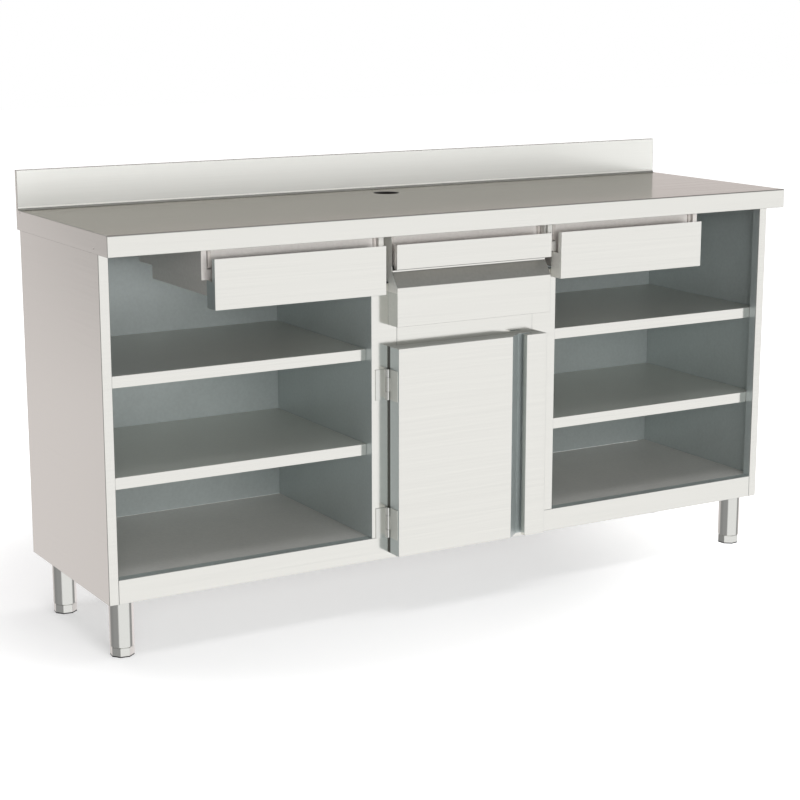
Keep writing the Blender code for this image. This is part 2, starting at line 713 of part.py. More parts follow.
def leg_mesh():
    """Tube with a bored plug at its foot and a plate under the floor, about its own axis."""
    plate_top = FLOOR_TOP - SHEET - GAP
    plate_bottom = plate_top - LEG_PLATE_THICKNESS
    inner = LEG_RADIUS - LEG_WALL
    bore = STUD_RADIUS + GAP
    plug = FOOT_HEIGHT + LEG_PLUG
    head = plate_bottom + LEG_PLATE_THICKNESS / 2
    profile = [(bore, FOOT_HEIGHT), (LEG_RADIUS, FOOT_HEIGHT), (LEG_RADIUS, head), (inner, head),
               (inner, plug), (bore, plug)]
    tube = joined_rings("leg", [ring(ROUND_SIDES, radius, height) for radius, height in profile], True)
    reach = LEG_PLATE / 2
    plate_front = INNER_FRONT - LEG_FRONT_Y
    return fuse(tube, box("leg_plate", (-reach, plate_front, plate_bottom), (reach, reach, plate_top)))


def foot_mesh():
    """Octagonal levelling foot with the stud that screws into the leg's plug."""
    top = FOOT_HEIGHT - GAP
    rings = [octagon_ring(FOOT_RADIUS - FOOT_CHAMFER, 0.0), octagon_ring(FOOT_RADIUS, FOOT_CHAMFER),
             octagon_ring(FOOT_RADIUS, top - FOOT_CHAMFER), octagon_ring(FOOT_RADIUS - FOOT_CHAMFER, top),
             ring(SMALL_SIDES, STUD_RADIUS, top), ring(SMALL_SIDES, STUD_RADIUS, top + STUD_LENGTH)]
    return joined_rings("foot", rings, False)


def legs(counter):
    """Four legs that share a mesh, each with its foot on an empty of its own."""
    leg, foot = leg_mesh(), foot_mesh()
    rows = (("front", LEG_FRONT_Y), ("rear", BODY_REAR - LEG_REAR_INSET))
    for word, side in SIDES:
        for row, y in rows:
            place = Vector((side * (LENGTH / 2 - LEG_END_INSET), y, 0.0))
            name = f"{word}_{row}"
            post = bpy.data.objects.new(f"leg_{name}", leg.data.copy())
            post.location = place
            post.parent = counter
            axis = make_empty(f"foot_axis_{name}", place)
            pad = bpy.data.objects.new(f"foot_{name}", foot.data.copy())
            pad.parent = axis
            pad.rotation_euler.z = RIGHT_FRONT_FOOT_TURN if name == "right_front" else FOOT_TURN
            for piece in (post, pad):
                bpy.context.collection.objects.link(piece)
                finish(piece, STEEL)
    for pattern in (leg, foot):
        bpy.data.objects.remove(pattern)


def main():
    for obj in list(bpy.data.objects):
        bpy.data.objects.remove(obj)
    counter = make_empty("counter", (0.0, 0.0, 0.0))
    board = finish(worktop_board(), BOARD_WOOD)
    catch = finish(door_catch(), GREY_PLASTIC)
    fixed_rails, drawer_pieces = drawers()
    frame_hinges, door_hinges = hinges()
    hang([worktop(), board, *carcass(), centre_casing(), chute(), *hangers(), *fixed_rails, *frame_hinges,
          catch], counter)
    for word, centre in DRAWERS:
        hang(drawer_pieces[word], make_empty(f"drawer_travel_{word}", (centre, DRAWER_FACE, SLIDE_TOP)))
    hang([*door(), *door_hinges], make_empty("door_axis", (HINGE_X, HINGE_Y, DOOR_BOTTOM)))
    legs(counter)
    for obj in bpy.data.objects:
        if obj.type == "MESH" and not obj.data.materials:
            finish(obj, STEEL)


main()
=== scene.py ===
"""Finished surfaces of a stainless steel counter for a coffee machine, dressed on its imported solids.

Metres, +Z up, the counter's front towards -Y. Each sheet piece is a merged copy of its solid with rolled
folds and eased cut edges. Legs, pins, the knock bar and the catch are modelled afresh in their places.
"""
import json
import math

import bmesh
import bpy
from bpy.props import FloatProperty, FloatVectorProperty, IntProperty, PointerProperty
from mathutils import Matrix, Vector


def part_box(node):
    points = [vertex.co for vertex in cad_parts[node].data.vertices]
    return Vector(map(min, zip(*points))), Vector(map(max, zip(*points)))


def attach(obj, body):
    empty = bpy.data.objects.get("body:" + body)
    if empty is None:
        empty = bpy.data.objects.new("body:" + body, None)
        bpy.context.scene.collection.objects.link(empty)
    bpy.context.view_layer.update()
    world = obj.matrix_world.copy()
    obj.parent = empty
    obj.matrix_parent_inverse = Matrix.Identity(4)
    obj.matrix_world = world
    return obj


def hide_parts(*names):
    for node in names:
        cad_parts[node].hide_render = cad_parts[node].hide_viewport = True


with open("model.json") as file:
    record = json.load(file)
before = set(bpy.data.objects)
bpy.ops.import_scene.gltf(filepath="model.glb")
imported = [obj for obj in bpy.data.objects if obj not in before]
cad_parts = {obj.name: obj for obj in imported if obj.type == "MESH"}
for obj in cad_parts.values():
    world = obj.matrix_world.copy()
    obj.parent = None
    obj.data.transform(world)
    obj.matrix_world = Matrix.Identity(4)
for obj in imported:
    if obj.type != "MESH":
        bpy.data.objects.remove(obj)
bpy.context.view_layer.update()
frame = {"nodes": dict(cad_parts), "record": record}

bl_info = {
    "name": "Coffee machine counter",
    "version": (1, 0, 0),
    "blender": (4, 5, 0),
    "location": "View3D > Sidebar > Counter",
    "description": "Dresses the solids of a stainless steel counter and sets its stage",
    "category": "Object",
}

BODY_OF = {name: body for body, names in frame["record"]["behaviour"]["bodies"].items() for name in names}

DRAWERS = ("left", "centre", "right")
# Both hands of a pair, with their signs along X
HANDS = {"left": -1, "right": 1}
LEVELS = ("upper", "lower")
CORNERS = ("left_front", "left_rear", "right_front", "right_rear")

LEFT, RIGHT = (-1, 0, 0), (1, 0, 0)
FRONT, REAR = (0, -1, 0), (0, 1, 0)
UP, DOWN = (0, 0, 1), (0, 0, -1)

# Loose triangles are joined within this distance, and faces flatter than this angle are made one
MERGE = 0.00002
FLAT = math.radians(0.4)
# Bends under this angle belong to a round face, and a strip under this width is a sheet's cut edge
SOFT_BEND = math.radians(30.0)
RIM = 0.0026
# Shares of an edge's length at which the way across its faces is tried
TRIALS = (0.02, 0.5, 0.98)
# How squarely a face looks along a direction to face it fully, and to face it more than any other
FACING = 0.9
MOSTLY = 0.7
# The fold at the upstand's foot slants at least this much both ways, and its upper half looks up less than this
SLANT = 0.12
HALFWAY = 0.5
# The cable hole is further than this from the worktop's edges, and the fold is nearer
HOLE_MARGIN = 0.03
# Forward faces further back than these are the upstand's, and the back of the door's pull
UPSTAND_BEHIND = 0.1
PULL_BEHIND = 0.004
# A hinge's knuckles lie within this many pin widths of its axis
KNUCKLE_REACH = 1.5
# Faces round a hinge pin and the knock bar
PIN_SIDES, BAR_SIDES = 32, 48

# Places of the screws along a rail, and of the rivets up the end panels and the dividers, as shares
RAIL_SCREWS = (0.12, 0.5, 0.88)
PANEL_RIVETS = (0.08, 0.25, 0.42, 0.59, 0.76, 0.93)
DIVIDER_RIVETS = (0.08, 0.36, 0.64, 0.92)
# Sides of a screw's, a bolt's and a rivet's head, and the radii of a head's step and crown as shares of its own
SCREW_SIDES, BOLT_SIDES, RIVET_SIDES = 16, 6, 12
STEP_SHARE, CROWN_SHARE = 0.86, 0.55

# Noise keeps mostly between these values, and this share of a coarse pattern is mixed into a fine one
NOISE_LOW, NOISE_HIGH = 0.3, 0.7
COARSE_SHARE = 0.4
# The broader lines on ground sheet, as many times wider and longer than the fine ones
BROAD_LINES = (4, 2)
# Size of the specks and clouds on rolled sheet
SPECK, CLOUD = 0.008, 0.15
# Colour of a grazing reflection: as it is, and dimmed as painted shade on the worktop's reflections
CLEAN_EDGE = (1.0, 1.0, 1.0, 1.0)
WORN_EDGE = (0.73, 0.715, 0.68, 1.0)


def linear(code):
    """Linear RGBA of an sRGB hex colour."""
    channels = [int(code[at:at + 2], 16) / 255 for at in (1, 3, 5)]
    return [c / 12.92 if c <= 0.04045 else ((c + 0.055) / 1.055) ** 2.4 for c in channels] + [1.0]


def colour_property(label, words, code):
    """Setting for a colour, from its sRGB hex code."""
    return FloatVectorProperty(name=label, description=words, subtype="COLOR", size=4, min=0.0, max=1.0,
                               default=linear(code))


def length_property(label, words, default):
    """Setting for a length in metres."""
    return FloatProperty(name=label, description=words, default=default, min=0.0, unit="LENGTH", precision=4)


def share_property(label, words, default):
    """Setting from 0 to 1."""
    return FloatProperty(name=label, description=words, default=default, min=0.0, max=1.0, subtype="FACTOR")


def power_property(label, words, default):
    """Setting for a lamp's power in watts."""
    return FloatProperty(name=label, description=words, default=default, min=0.0, subtype="POWER")


class SheetSizes(bpy.types.PropertyGroup):
    """How the sheet is folded and cut."""

    thickness: length_property("Sheet", "Thickness of the folded sheet", 0.0015)
    front_return: length_property("Front return", "Depth of the returns behind a drawer front", 0.0125)
    hem: length_property("Hem", "Turned-up edge of the sloped plate", 0.0042)
    # Width of the dark band on the door's rear rim: painted shade of the gap behind the door
    door_edging: length_property("Door rim shade width", "Width of the dark band along the door's rear rim, painted shade", 0.0070)
    fold_radius: length_property("Fold radius", "Outer radius of a folded edge", 0.0012)
    inner_radius: length_property("Inner radius", "Radius inside a fold", 0.0006)
    cut_radius: length_property("Cut edge", "Easing of a cut edge", 0.0003)
    seam_radius: length_property("Seam edge", "Easing of the edges where worktop and end panels meet", 0.0007)
    board_radius: length_property("Board edge", "Easing of the core board's edges", 0.0006)
    rail_radius: length_property("Rail fold", "Outer radius of a slide rail's folds", 0.0010)
    leaf_radius: length_property("Leaf edge", "Easing of a hinge leaf's edges", 0.0004)
    fold_steps: IntProperty(name="Fold steps", description="Faces across a fold", default=3, min=1, max=8)


class SteelFinish(bpy.types.PropertyGroup):
    """Colours and grain of the metal."""

    ground_colour: colour_property("Ground steel", "Sheet with a belt-ground face", "#E9E8E3")
    # The upstand's paler colour is painted light on its face
    scoured_colour: colour_property("Upstand steel, painted light", "Face of the upstand, pale as painted light", "#F7F7F2")
    # The worktop's darker colour is painted shade that darkens its reflections
    top_colour: colour_property("Worktop", "Ground sheet of the worktop, darkened as painted shade", "#9C9891")
    mill_colour: colour_property("Mill steel", "Sheet left as it was rolled", "#BAC2C1")
    annealed_colour: colour_property("Annealed steel", "Plain sheet of shelves, casing and door leaves", "#CCCEC8")
    # Painted light: a pale matt colour for faces that stand in shade, and the highlight at the upstand's foot
    blasted_colour: colour_property("Painted light steel", "Matt pale folds, hangers and cheeks", "#F0EEE8")
    trodden_colour: colour_property("Trodden steel", "Matt sheet of the bays' floor, dulled by use", "#D6D5D1")
    # Painted shade: the darker grey of the sloped plate, the rounded seams and the lower upstand's foot
    dulled_colour: colour_property("Painted shade steel", "Sloped plate under the centre drawer, and seams", "#93938E")
    pickled_colour: colour_property("Pickled steel", "Pale satin sheet of hangers and drawer boxes", "#F2EBE6")
    tube_colour: colour_property("Drawn tube", "Bright tube of the legs", "#DEDEDA")
    zinc_colour: colour_property("Zinc plate", "Plated rails and screws", "#DDD6D0")
    ground_roughness: share_property("Ground roughness", "Gloss of ground sheet", 0.15)
    mill_roughness: share_property("Mill roughness", "Gloss of rolled sheet", 0.33)
    mill_metallic: share_property("Mill metal", "How metallic rolled sheet looks under its oxide", 0.5)
    grain_width: length_property("Grain width", "Spacing of the ground lines as drawn", 0.0018)
    grain_length: length_property("Grain length", "Length of a ground line", 0.300)


class OtherFinish(bpy.types.PropertyGroup):
    """Colours of what isn't metal."""

    board_colour: colour_property("Core board", "Sealed board under the worktop", "#1E1B19")
    rubber_colour: colour_property("Rubber", "Knock bar, foot pads and edging of the cable hole", "#17181A")
    # Painted shade: colour of the dark band on the door's rear rim
    edging_colour: colour_property("Door rim shade", "Dark band along the door's rear rim, as painted shade", "#53544F")
    plastic_colour: colour_property("Catch plastic", "Moulded body of the catch", "#5A5C5E")


class LegSizes(bpy.types.PropertyGroup):
    """Sizes of the legs and feet that the solids leave plain."""

    sides: IntProperty(name="Sides", description="Faces round a leg", default=72, min=24, max=128)
    radius: length_property("Tube radius", "Outer radius of a leg", 0.030)
    wall: length_property("Tube wall", "Wall of a leg", 0.002)
    bore: length_property("Bore", "Radius of the thread in the plug", 0.0083)
    plug: length_property("Plug", "Height of the plug in a leg's foot", 0.0205)
    toe: length_property("Toe", "Radius at a leg's lower rim", 0.0012)
    weld: length_property("Weld", "Fillet between tube and plate", 0.003)
    plate: length_property("Plate", "Thickness of the plate on a leg", 0.003)
    plate_corner: length_property("Plate corner", "Corner radius of the plate", 0.006)
    bolt_inset: length_property("Bolt inset", "From a plate's edges to its bolts", 0.0085)
    pad_height: length_property("Pad height", "Rubber under each foot", 0.003)
    foot_edge: length_property("Foot edge", "Easing of a foot's edges", 0.0006)


class FastenerSizes(bpy.types.PropertyGroup):
    """Sizes of the fastener heads."""

    screw_radius: length_property("Screw head", "Radius of a slide screw's head", 0.0036)
    screw_height: length_property("Screw height", "Height of a slide screw's head", 0.0018)
    bolt_radius: length_property("Bolt head", "Radius of a hexagon head", 0.0056)
    bolt_height: length_property("Bolt height", "Height of a hexagon head", 0.0040)
    rivet_radius: length_property("Rivet head", "Radius of a blind rivet's head", 0.0026)
    rivet_height: length_property("Rivet height", "Height of a blind rivet's head", 0.0008)
    rivet_inset: length_property("Rivet inset", "From a fold to the rivets at the back", 0.0125)
    front_rivet_back: length_property("Front rivet", "From an end panel's front to the apron's rivet", 0.0175)
    front_rivet_rise: length_property("Front rivet rise", "From the apron's foot to that rivet", 0.01125)
    rear_rivet_lead: length_property("Rear rivet", "From the worktop's rear to its end's rear rivet", 0.0275)
    rear_rivet_drop: length_property("Rear rivet drop", "From the core board's top to that rivet", 0.003125)
    rail_sheet: length_property("Rail sheet", "Thickness of a slide rail", 0.0012)


class StageSettings(bpy.types.PropertyGroup):
    """Floor, light and camera."""

    lens: FloatProperty(name="Lens", description="Focal length", default=85.57, min=1.0, unit="CAMERA")
    camera_place: FloatVectorProperty(name="Camera", description="Where the camera stands", unit="LENGTH",
                                      default=(-2.59526, -4.29154, 1.58002))
    camera_turn: FloatVectorProperty(name="Turn", description="Camera rotation", subtype="EULER", unit="ROTATION",
                                     default=[math.radians(turn) for turn in (77.7622, 0.0, -30.5898)])
    floor_colour: colour_property("Floor", "Pale floor under the counter", "#DCDCDC")
    # Glow of the floor near the counter, lowered as a painted shadow on top of the real one
    floor_base: share_property("Floor white", "How light the floor stays in full shadow", 0.43)
    lamp_power: power_property("Overhead lamp", "Power of the overhead lamp", 110.0)
    front_power: power_property("Front lamp", "Power of the low lamp in front", 180.0)


def node(tree, kind, settings=None, inputs=None):
    """Add a node with its settings, and link or fill its inputs.

    Inputs whose names repeat go by number: on a Mix node 2 and 3 mix numbers, 4 and 5 vectors, 6 and 7
    colours, and on a Map Range node 1 to 2 is the range that comes in and 3 to 4 the one that goes out.
    """
    made = tree.nodes.new(kind)
    for key, value in (settings or {}).items():
        setattr(made, key, value)
    for key, value in (inputs or {}).items():
        if isinstance(value, bpy.types.NodeSocket):
            tree.links.new(value, made.inputs[key])
        else:
            made.inputs[key].default_value = value
    return made


def scaled(colour, factor):
    """A colour made lighter or darker, no channel over 1."""
    return [min(1.0, channel * factor) for channel in colour[:3]] + [1.0]


def blank_material(name):
    """Empty material with its tree, and the coordinates of the piece that it is on."""
    material = bpy.data.materials.new(name)
    material.use_nodes = True
    tree = material.node_tree
    tree.nodes.clear()
    return material, tree, node(tree, "ShaderNodeTexCoord").outputs


def close_material(tree, pattern, colour, roughness, shift, swing, inputs):
    """Shader whose colour and roughness follow a pattern, by a shift and a swing to either side."""
    tint = node(tree, "ShaderNodeMix", {"data_type": "RGBA"},
                {0: pattern, 6: scaled(colour, 1 - shift), 7: scaled(colour, 1 + shift)})
    rough = node(tree, "ShaderNodeMapRange",
                 inputs={0: pattern, 1: NOISE_LOW, 2: NOISE_HIGH, 3: roughness - swing, 4: roughness + swing})
    shader = node(tree, "ShaderNodeBsdfPrincipled",
                  inputs={"Base Color": tint.outputs[2], "Roughness": rough.outputs[0], **inputs})
    node(tree, "ShaderNodeOutputMaterial", inputs={"Surface": shader.outputs[0]})


def stretched(tree, place, turned, width, length):
    """Noise drawn out along X, and along Y on faces that look along X."""
    level = node(tree, "ShaderNodeMapping", inputs={0: place, "Scale": (1 / length, 1 / width, 1 / width)})
    across = node(tree, "ShaderNodeMapping", inputs={0: place, "Scale": (1 / width, 1 / length, 1 / width)})
    along = node(tree, "ShaderNodeMix", {"data_type": "VECTOR"},
                 {0: turned, 4: level.outputs[0], 5: across.outputs[0]})
    lines = node(tree, "ShaderNodeTexNoise", inputs={"Vector": along.outputs[1], "Scale": 1.0, "Detail": 1.0})
    return lines.outputs["Fac"]


def ground_steel(name, colour, roughness, metallic=1.0, edge=CLEAN_EDGE):
    """Stainless sheet ground with a belt: fine straight lines along the sheet smear its reflections.

    Real lines are about 0.2 mm wide. They are drawn coarser so that they show from a few metres away. The edge
    colour dims a low, grazing reflection; an edge colour under white is painted shade on that reflection.
    """
    finish = bpy.context.scene.counter_steel
    material, tree, place = blank_material(name)
    look = node(tree, "ShaderNodeSeparateXYZ", inputs={0: place["Normal"]})
    sideways = node(tree, "ShaderNodeMath", {"operation": "ABSOLUTE"}, {0: look.outputs["X"]})
    turned = node(tree, "ShaderNodeMath", {"operation": "GREATER_THAN"}, {0: sideways.outputs[0], 1: MOSTLY})
    fine, broad = [stretched(tree, place["Object"], turned.outputs[0], wider * finish.grain_width,
                             longer * finish.grain_length) for wider, longer in ((1, 1), BROAD_LINES)]
    lines = node(tree, "ShaderNodeMix", {"data_type": "FLOAT"}, {0: COARSE_SHARE, 2: fine, 3: broad})
    close_material(tree, lines.outputs[0], colour, roughness, shift=0.07, swing=0.04,
                   inputs={"Metallic": metallic, "Specular Tint": edge})
    return material


def mill_steel(name, colour, roughness, metallic, mottle=0.16):
    """Steel as it left the rolls: grey, matt and faintly mottled, with no lines.

    Pickling, blasting, drawing and plating change its colour, its gloss and how strong the mottle is.
    """
    material, tree, place = blank_material(name)
    speck = node(tree, "ShaderNodeTexNoise", inputs={"Vector": place["Object"], "Scale": 1 / SPECK, "Detail": 3.0})
    cloud = node(tree, "ShaderNodeTexNoise", inputs={"Vector": place["Object"], "Scale": 1 / CLOUD, "Detail": 2.0})
    mixed = node(tree, "ShaderNodeMix", {"data_type": "FLOAT"},
                 {0: COARSE_SHARE, 2: speck.outputs["Fac"], 3: cloud.outputs["Fac"]})
    close_material(tree, mixed.outputs[0], colour, roughness, shift=mottle, swing=0.05,
                   inputs={"Metallic": metallic})
    return material


def matt_material(name, colour, roughness, grain, depth):
    """Moulded rubber, plastic or sealed board: a dull surface with a fine grain of the given size."""
    material, tree, place = blank_material(name)
    speck = node(tree, "ShaderNodeTexNoise", inputs={"Vector": place["Object"], "Scale": 1 / grain, "Detail": 3.0})
    bump = node(tree, "ShaderNodeBump",
                inputs={"Height": speck.outputs["Fac"], "Strength": depth, "Distance": grain / 4})
    close_material(tree, speck.outputs["Fac"], colour, roughness, shift=0.2, swing=0.06,
                   inputs={"Normal": bump.outputs[0]})
    return material


def finish_named(name):
    """The finish of that name, made the first time that it is asked for."""
    made = bpy.data.materials.get(name)
    if made:
        return made
    steel = bpy.context.scene.counter_steel
    other = bpy.context.scene.counter_other
    rolled = dict(roughness=steel.mill_roughness, metallic=steel.mill_metallic)
    makers = {
        # Ground with a belt: pale, with fine lines that stretch its reflections along the sheet
        "belt_ground_stainless": (ground_steel, steel.ground_colour, dict(roughness=steel.ground_roughness)),
        # Ground sheet made darker, its low reflections dimmed: painted shade, a darker reflection
        "worn_ground_stainless": (ground_steel, steel.top_colour,
                                  dict(roughness=steel.ground_roughness, edge=WORN_EDGE)),
        # Pale and hazy, half its mirror gone: painted light that makes the upstand's face lighter
        "scoured_stainless": (ground_steel, steel.scoured_colour, dict(roughness=0.22, metallic=0.48)),
        # As it left the rolls: cool grey under a thin oxide
        "rolled_stainless": (mill_steel, steel.mill_colour, rolled),
        # Cleaned in acid: pale, satin and a little warm
        "pickled_stainless": (mill_steel, steel.pickled_colour, dict(roughness=0.36, metallic=0.55)),
        # Softened in a furnace: plain even grey
        "annealed_stainless": (mill_steel, steel.annealed_colour, dict(roughness=0.36, metallic=0.45)),
        # The palest and most matt, with hardly a reflection: painted light on faces in shade, and a painted
        # highlight at the upstand's foot
        "blasted_stainless": (mill_steel, steel.blasted_colour, dict(roughness=0.45, metallic=0.30)),
        # Blasted sheet scuffed by what stands on it: matt and a shade darker
        "trodden_stainless": (mill_steel, steel.trodden_colour, dict(roughness=0.45, metallic=0.30)),
        # Mid grey and dull: painted shade on the sloped plate, along rounded seams and low in the upstand's foot
        "dulled_stainless": (mill_steel, steel.dulled_colour, dict(roughness=0.33, metallic=0.50)),
        # Drawn through a die: bright and smooth, hardly mottled
        "drawn_stainless_tube": (mill_steel, steel.tube_colour, dict(roughness=0.14, metallic=1.0, mottle=0.03)),
        # Plated: soft pale grey, slightly warm
        "zinc_plated_steel": (mill_steel, steel.zinc_colour, dict(roughness=0.40, metallic=0.30)),
        # Board under a dark sealer: dull, with the wood's grain faintly raised; its near black is also painted
        # shade in the cable hole
        "sealed_plywood": (matt_material, other.board_colour, dict(roughness=0.75, grain=0.004, depth=0.3)),
        # Rubber from a mould: black and dull, finely pebbled
        "moulded_rubber": (matt_material, other.rubber_colour, dict(roughness=0.70, grain=0.0015, depth=0.2)),
        # Dark grey with a low sheen: painted shade of the gap along the door's rear rim
        "extruded_pvc": (matt_material, other.edging_colour, dict(roughness=0.55, grain=0.002, depth=0.1)),
        # Plastic from a mould: mid grey, finely grained
        "moulded_abs": (matt_material, other.plastic_colour, dict(roughness=0.45, grain=0.001, depth=0.1)),
    }
    make, colour, looks = makers[name]
    return make(name, colour, **looks)


def merged(name):
    """Bmesh of a node, its loose triangles joined into convex flat faces.

    A bent rim in one face would be turned inside out where its folds are rounded.
    """
    bm = bmesh.new()
    bm.from_mesh(frame["nodes"][name].data)
    bmesh.ops.remove_doubles(bm, verts=bm.verts[:], dist=MERGE)
    bmesh.ops.dissolve_limit(bm, angle_limit=FLAT, verts=bm.verts[:], edges=bm.edges[:])
    bmesh.ops.connect_verts_concave(bm, faces=bm.faces[:])
    bm.normal_update()
    return bm


def corners_of(name):
    """Corners of a merged node."""
    bm = merged(name)
    corners = [vert.co.copy() for vert in bm.verts]
    bm.free()
    return corners


def way_across(face, edge):
    """Shortest way from an edge across its face, square to the edge, tried near both ends and in the middle."""
    start, end = (vert.co for vert in edge.verts)
    along = (end - start).normalized()
    inward = face.normal.cross(along)
    if inward.dot(face.calc_center_median() - start) < 0:
        inward.negate()
    shortest = math.inf
    for share in TRIALS:
        origin = start.lerp(end, share)
        for other in face.edges:
            if other == edge:
                continue
            sides = [(vert.co - origin).dot(along) for vert in other.verts]
            if sides[0] * sides[1] > 0 or sides[0] == sides[1]:
                continue
            crossing = other.verts[0].co.lerp(other.verts[1].co, sides[0] / (sides[0] - sides[1]))
            reach = (crossing - origin).dot(inward)
            if reach > MERGE:
                shortest = min(shortest, reach)
    return shortest


def weigh_edges(bm, radius, cut=None):
    """Bevel weights: full on outer folds, small inside folds and along cut edges, none on round faces."""
    sheet = bpy.context.scene.counter_sheet
    weight = bm.edges.layers.float.new("bevel_weight_edge")
    for edge in bm.edges:
        if edge.calc_face_angle(0.0) < SOFT_BEND:
            continue
        if min(way_across(face, edge) for face in edge.link_faces) < RIM:
            edge[weight] = min(1.0, (cut or sheet.cut_radius) / radius)
        else:
            edge[weight] = 1.0 if edge.is_convex else min(1.0, sheet.inner_radius / radius)


def new_piece(name, bm, finishes):
    """Object from a bmesh, smooth, with its finishes in its material slots."""
    for face in bm.faces:
        face.smooth = True
    mesh = bpy.data.meshes.new(name)
    bm.to_mesh(mesh)
    bm.free()
    for finish in finishes:
        mesh.materials.append(finish_named(finish))
    obj = bpy.data.objects.new(name, mesh)
    bpy.context.scene.collection.objects.link(obj)
    return obj


def ease(obj, radius, steps):
    """Round the weighted edges and keep the flat faces flat."""
    bevel = obj.modifiers.new("Folds", "BEVEL")
    bevel.width = radius
    bevel.segments = steps
    bevel.limit_method = "WEIGHT"
    bevel.use_clamp_overlap = False
    flat = obj.modifiers.new("Flat faces", "WEIGHTED_NORMAL")
    flat.keep_sharp = True
    return obj


def stand_for(obj, *names):
    """Let a piece stand for CAD nodes and ride on their body."""
    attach(obj, BODY_OF[names[0]])
    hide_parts(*names)
    return obj


def finish_index(normal, groups):
    """Which finish a face takes: that of the first group with a direction that it looks along, or the last."""
    for at, group in enumerate(groups):
        if any(normal.dot(Vector(way)) > FACING for way in group):
            return at
    return len(groups)


def dress(name, finishes, groups=(), radius=None, deepest=None, blocks=(), cut=None, edging=None):
    """Finished copy of a node, with a finish for each group of directions and one for the rest.

    Faces that look forward from further than the deepest distance behind the node's front take the last
    finish. Blocks of low and high corners are small plates that the solid leaves out. Cut edges take a radius
    of their own, and an edging is the finish of all rounded edges.
    """
    sheet = bpy.context.scene.counter_sheet
    radius = radius or sheet.fold_radius
    bm = merged(name)
    for low, high in blocks:
        middle, size = (Vector(high) + Vector(low)) / 2, Vector(high) - Vector(low)
        bmesh.ops.create_cube(bm, size=1.0, matrix=Matrix.LocRotScale(middle, None, size))
    bm.normal_update()
    weigh_edges(bm, radius, cut)
    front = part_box(name)[0][1]
    for face in bm.faces:
        face.material_index = finish_index(face.normal, groups)
        forward = face.normal.dot(Vector(FRONT)) > FACING
        if deepest and forward and face.calc_center_median().y > front + deepest:
            face.material_index = len(finishes) - 1
    obj = ease(new_piece(f"finished_{name}", bm, finishes), radius, sheet.fold_steps)
    if edging:
        obj.data.materials.append(finish_named(edging))
        obj.modifiers["Folds"].material = len(finishes)
    return stand_for(obj, name)


def cut_across(bm, point, way):
    """Split the faces that a plane crosses, and keep both sides."""
    bmesh.ops.bisect_plane(bm, geom=bm.verts[:] + bm.edges[:] + bm.faces[:], plane_co=point, plane_no=way)


def finish_beyond(mesh, finish, point, way, sides):
    """Give one more finish to the faces beyond a plane that look along one of the sides."""
    mesh.materials.append(finish_named(finish))
    bm = bmesh.new()
    bm.from_mesh(mesh)
    cut_across(bm, point, way)
    for face in bm.faces:
        beyond = (face.calc_center_median() - Vector(point)).dot(Vector(way)) > 0
        if beyond and finish_index(face.normal, (sides,)) == 0:
            face.material_index = len(mesh.materials) - 1
    bm.to_mesh(mesh)
    bm.free()


# Finishes that several pieces share, and the finish inside each drawer front: the centre's and the right one's are
# paler as painted light in their shaded troughs
SHEET = ("belt_ground_stainless", "rolled_stainless")
RUNNER = ("pickled_stainless",)
BRIGHT = ("drawn_stainless_tube",)
ZINC = ("zinc_plated_steel",)
INSIDE_OF = {"left": "rolled_stainless", "centre": "pickled_stainless", "right": "blasted_stainless"}


class DressWorktop(bpy.types.Operator):
    """Dress the folded worktop with its upstand, and the board under it"""

    bl_idname = "counter.dress_worktop"
    bl_label = "Worktop"

    def execute(self, context):
        sheet = context.scene.counter_sheet
        # The upstand's face takes painted light, the top painted shade on its reflections, and rounded edges a
        # dark finish as painted shade along the seams
        top = dress("worktop", ("worn_ground_stainless", "belt_ground_stainless", "scoured_stainless"), ((UP,),),
                    deepest=UPSTAND_BEHIND, cut=sheet.seam_radius, edging="dulled_stainless")
        trim_top(top.data)
        dress("worktop_board", ("sealed_plywood",), radius=sheet.board_radius)
        return {"FINISHED"}


def trim_top(mesh):
    """Rubber edging in the cable hole, dark also as painted shade there, and the hollow fold at the upstand's foot
    with a painted highlight above and painted shade below.
    """
    rubber, blasted = len(mesh.materials), len(mesh.materials) + 1
    dulled = mesh.materials.find("dulled_stainless")
    mesh.materials.append(finish_named("moulded_rubber"))
    mesh.materials.append(finish_named("blasted_stainless"))
    low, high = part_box("worktop")
    for face in mesh.polygons:
        inside = all(low[way] + HOLE_MARGIN < face.center[way] < high[way] - HOLE_MARGIN for way in (0, 1))
        # Walls of the cable hole take black rubber edging, dark also as painted shade in the hole
        if inside and abs(face.normal.z) < MOSTLY:
            face.material_index = rubber
        # Fold at the upstand's foot: painted highlight on its upper half, painted shade on its lower half
        elif face.center.y > high[1] - HOLE_MARGIN and -face.normal.y > SLANT and face.normal.z > SLANT:
            face.material_index = blasted if face.normal.z < HALFWAY else dulled


class DressCarcass(bpy.types.Operator):
    """Dress the end panels, dividers, back, base and cross panel"""

    bl_idname = "counter.dress_carcass"
    bl_label = "Carcass"

    def execute(self, context):
        seam = context.scene.counter_sheet.seam_radius
        for hand, outer in (("left", LEFT), ("right", RIGHT)):
            # Rounded edges of the end panels take a dark finish: painted shade along the seam under the worktop
            dress(f"side_panel_{hand}", SHEET, ((outer, FRONT, REAR),), cut=seam, edging="dulled_stainless")
        for hand in HANDS:
            dress(f"divider_{hand}", SHEET, ((FRONT,),))
        dress("back_panel", SHEET, ((REAR,),))
        dress("base_rail", SHEET, ((FRONT,),))
        dress("base_floor", ("trodden_stainless",))
        dress("front_cross_panel", SHEET, ((FRONT,),))
        return {"FINISHED"}


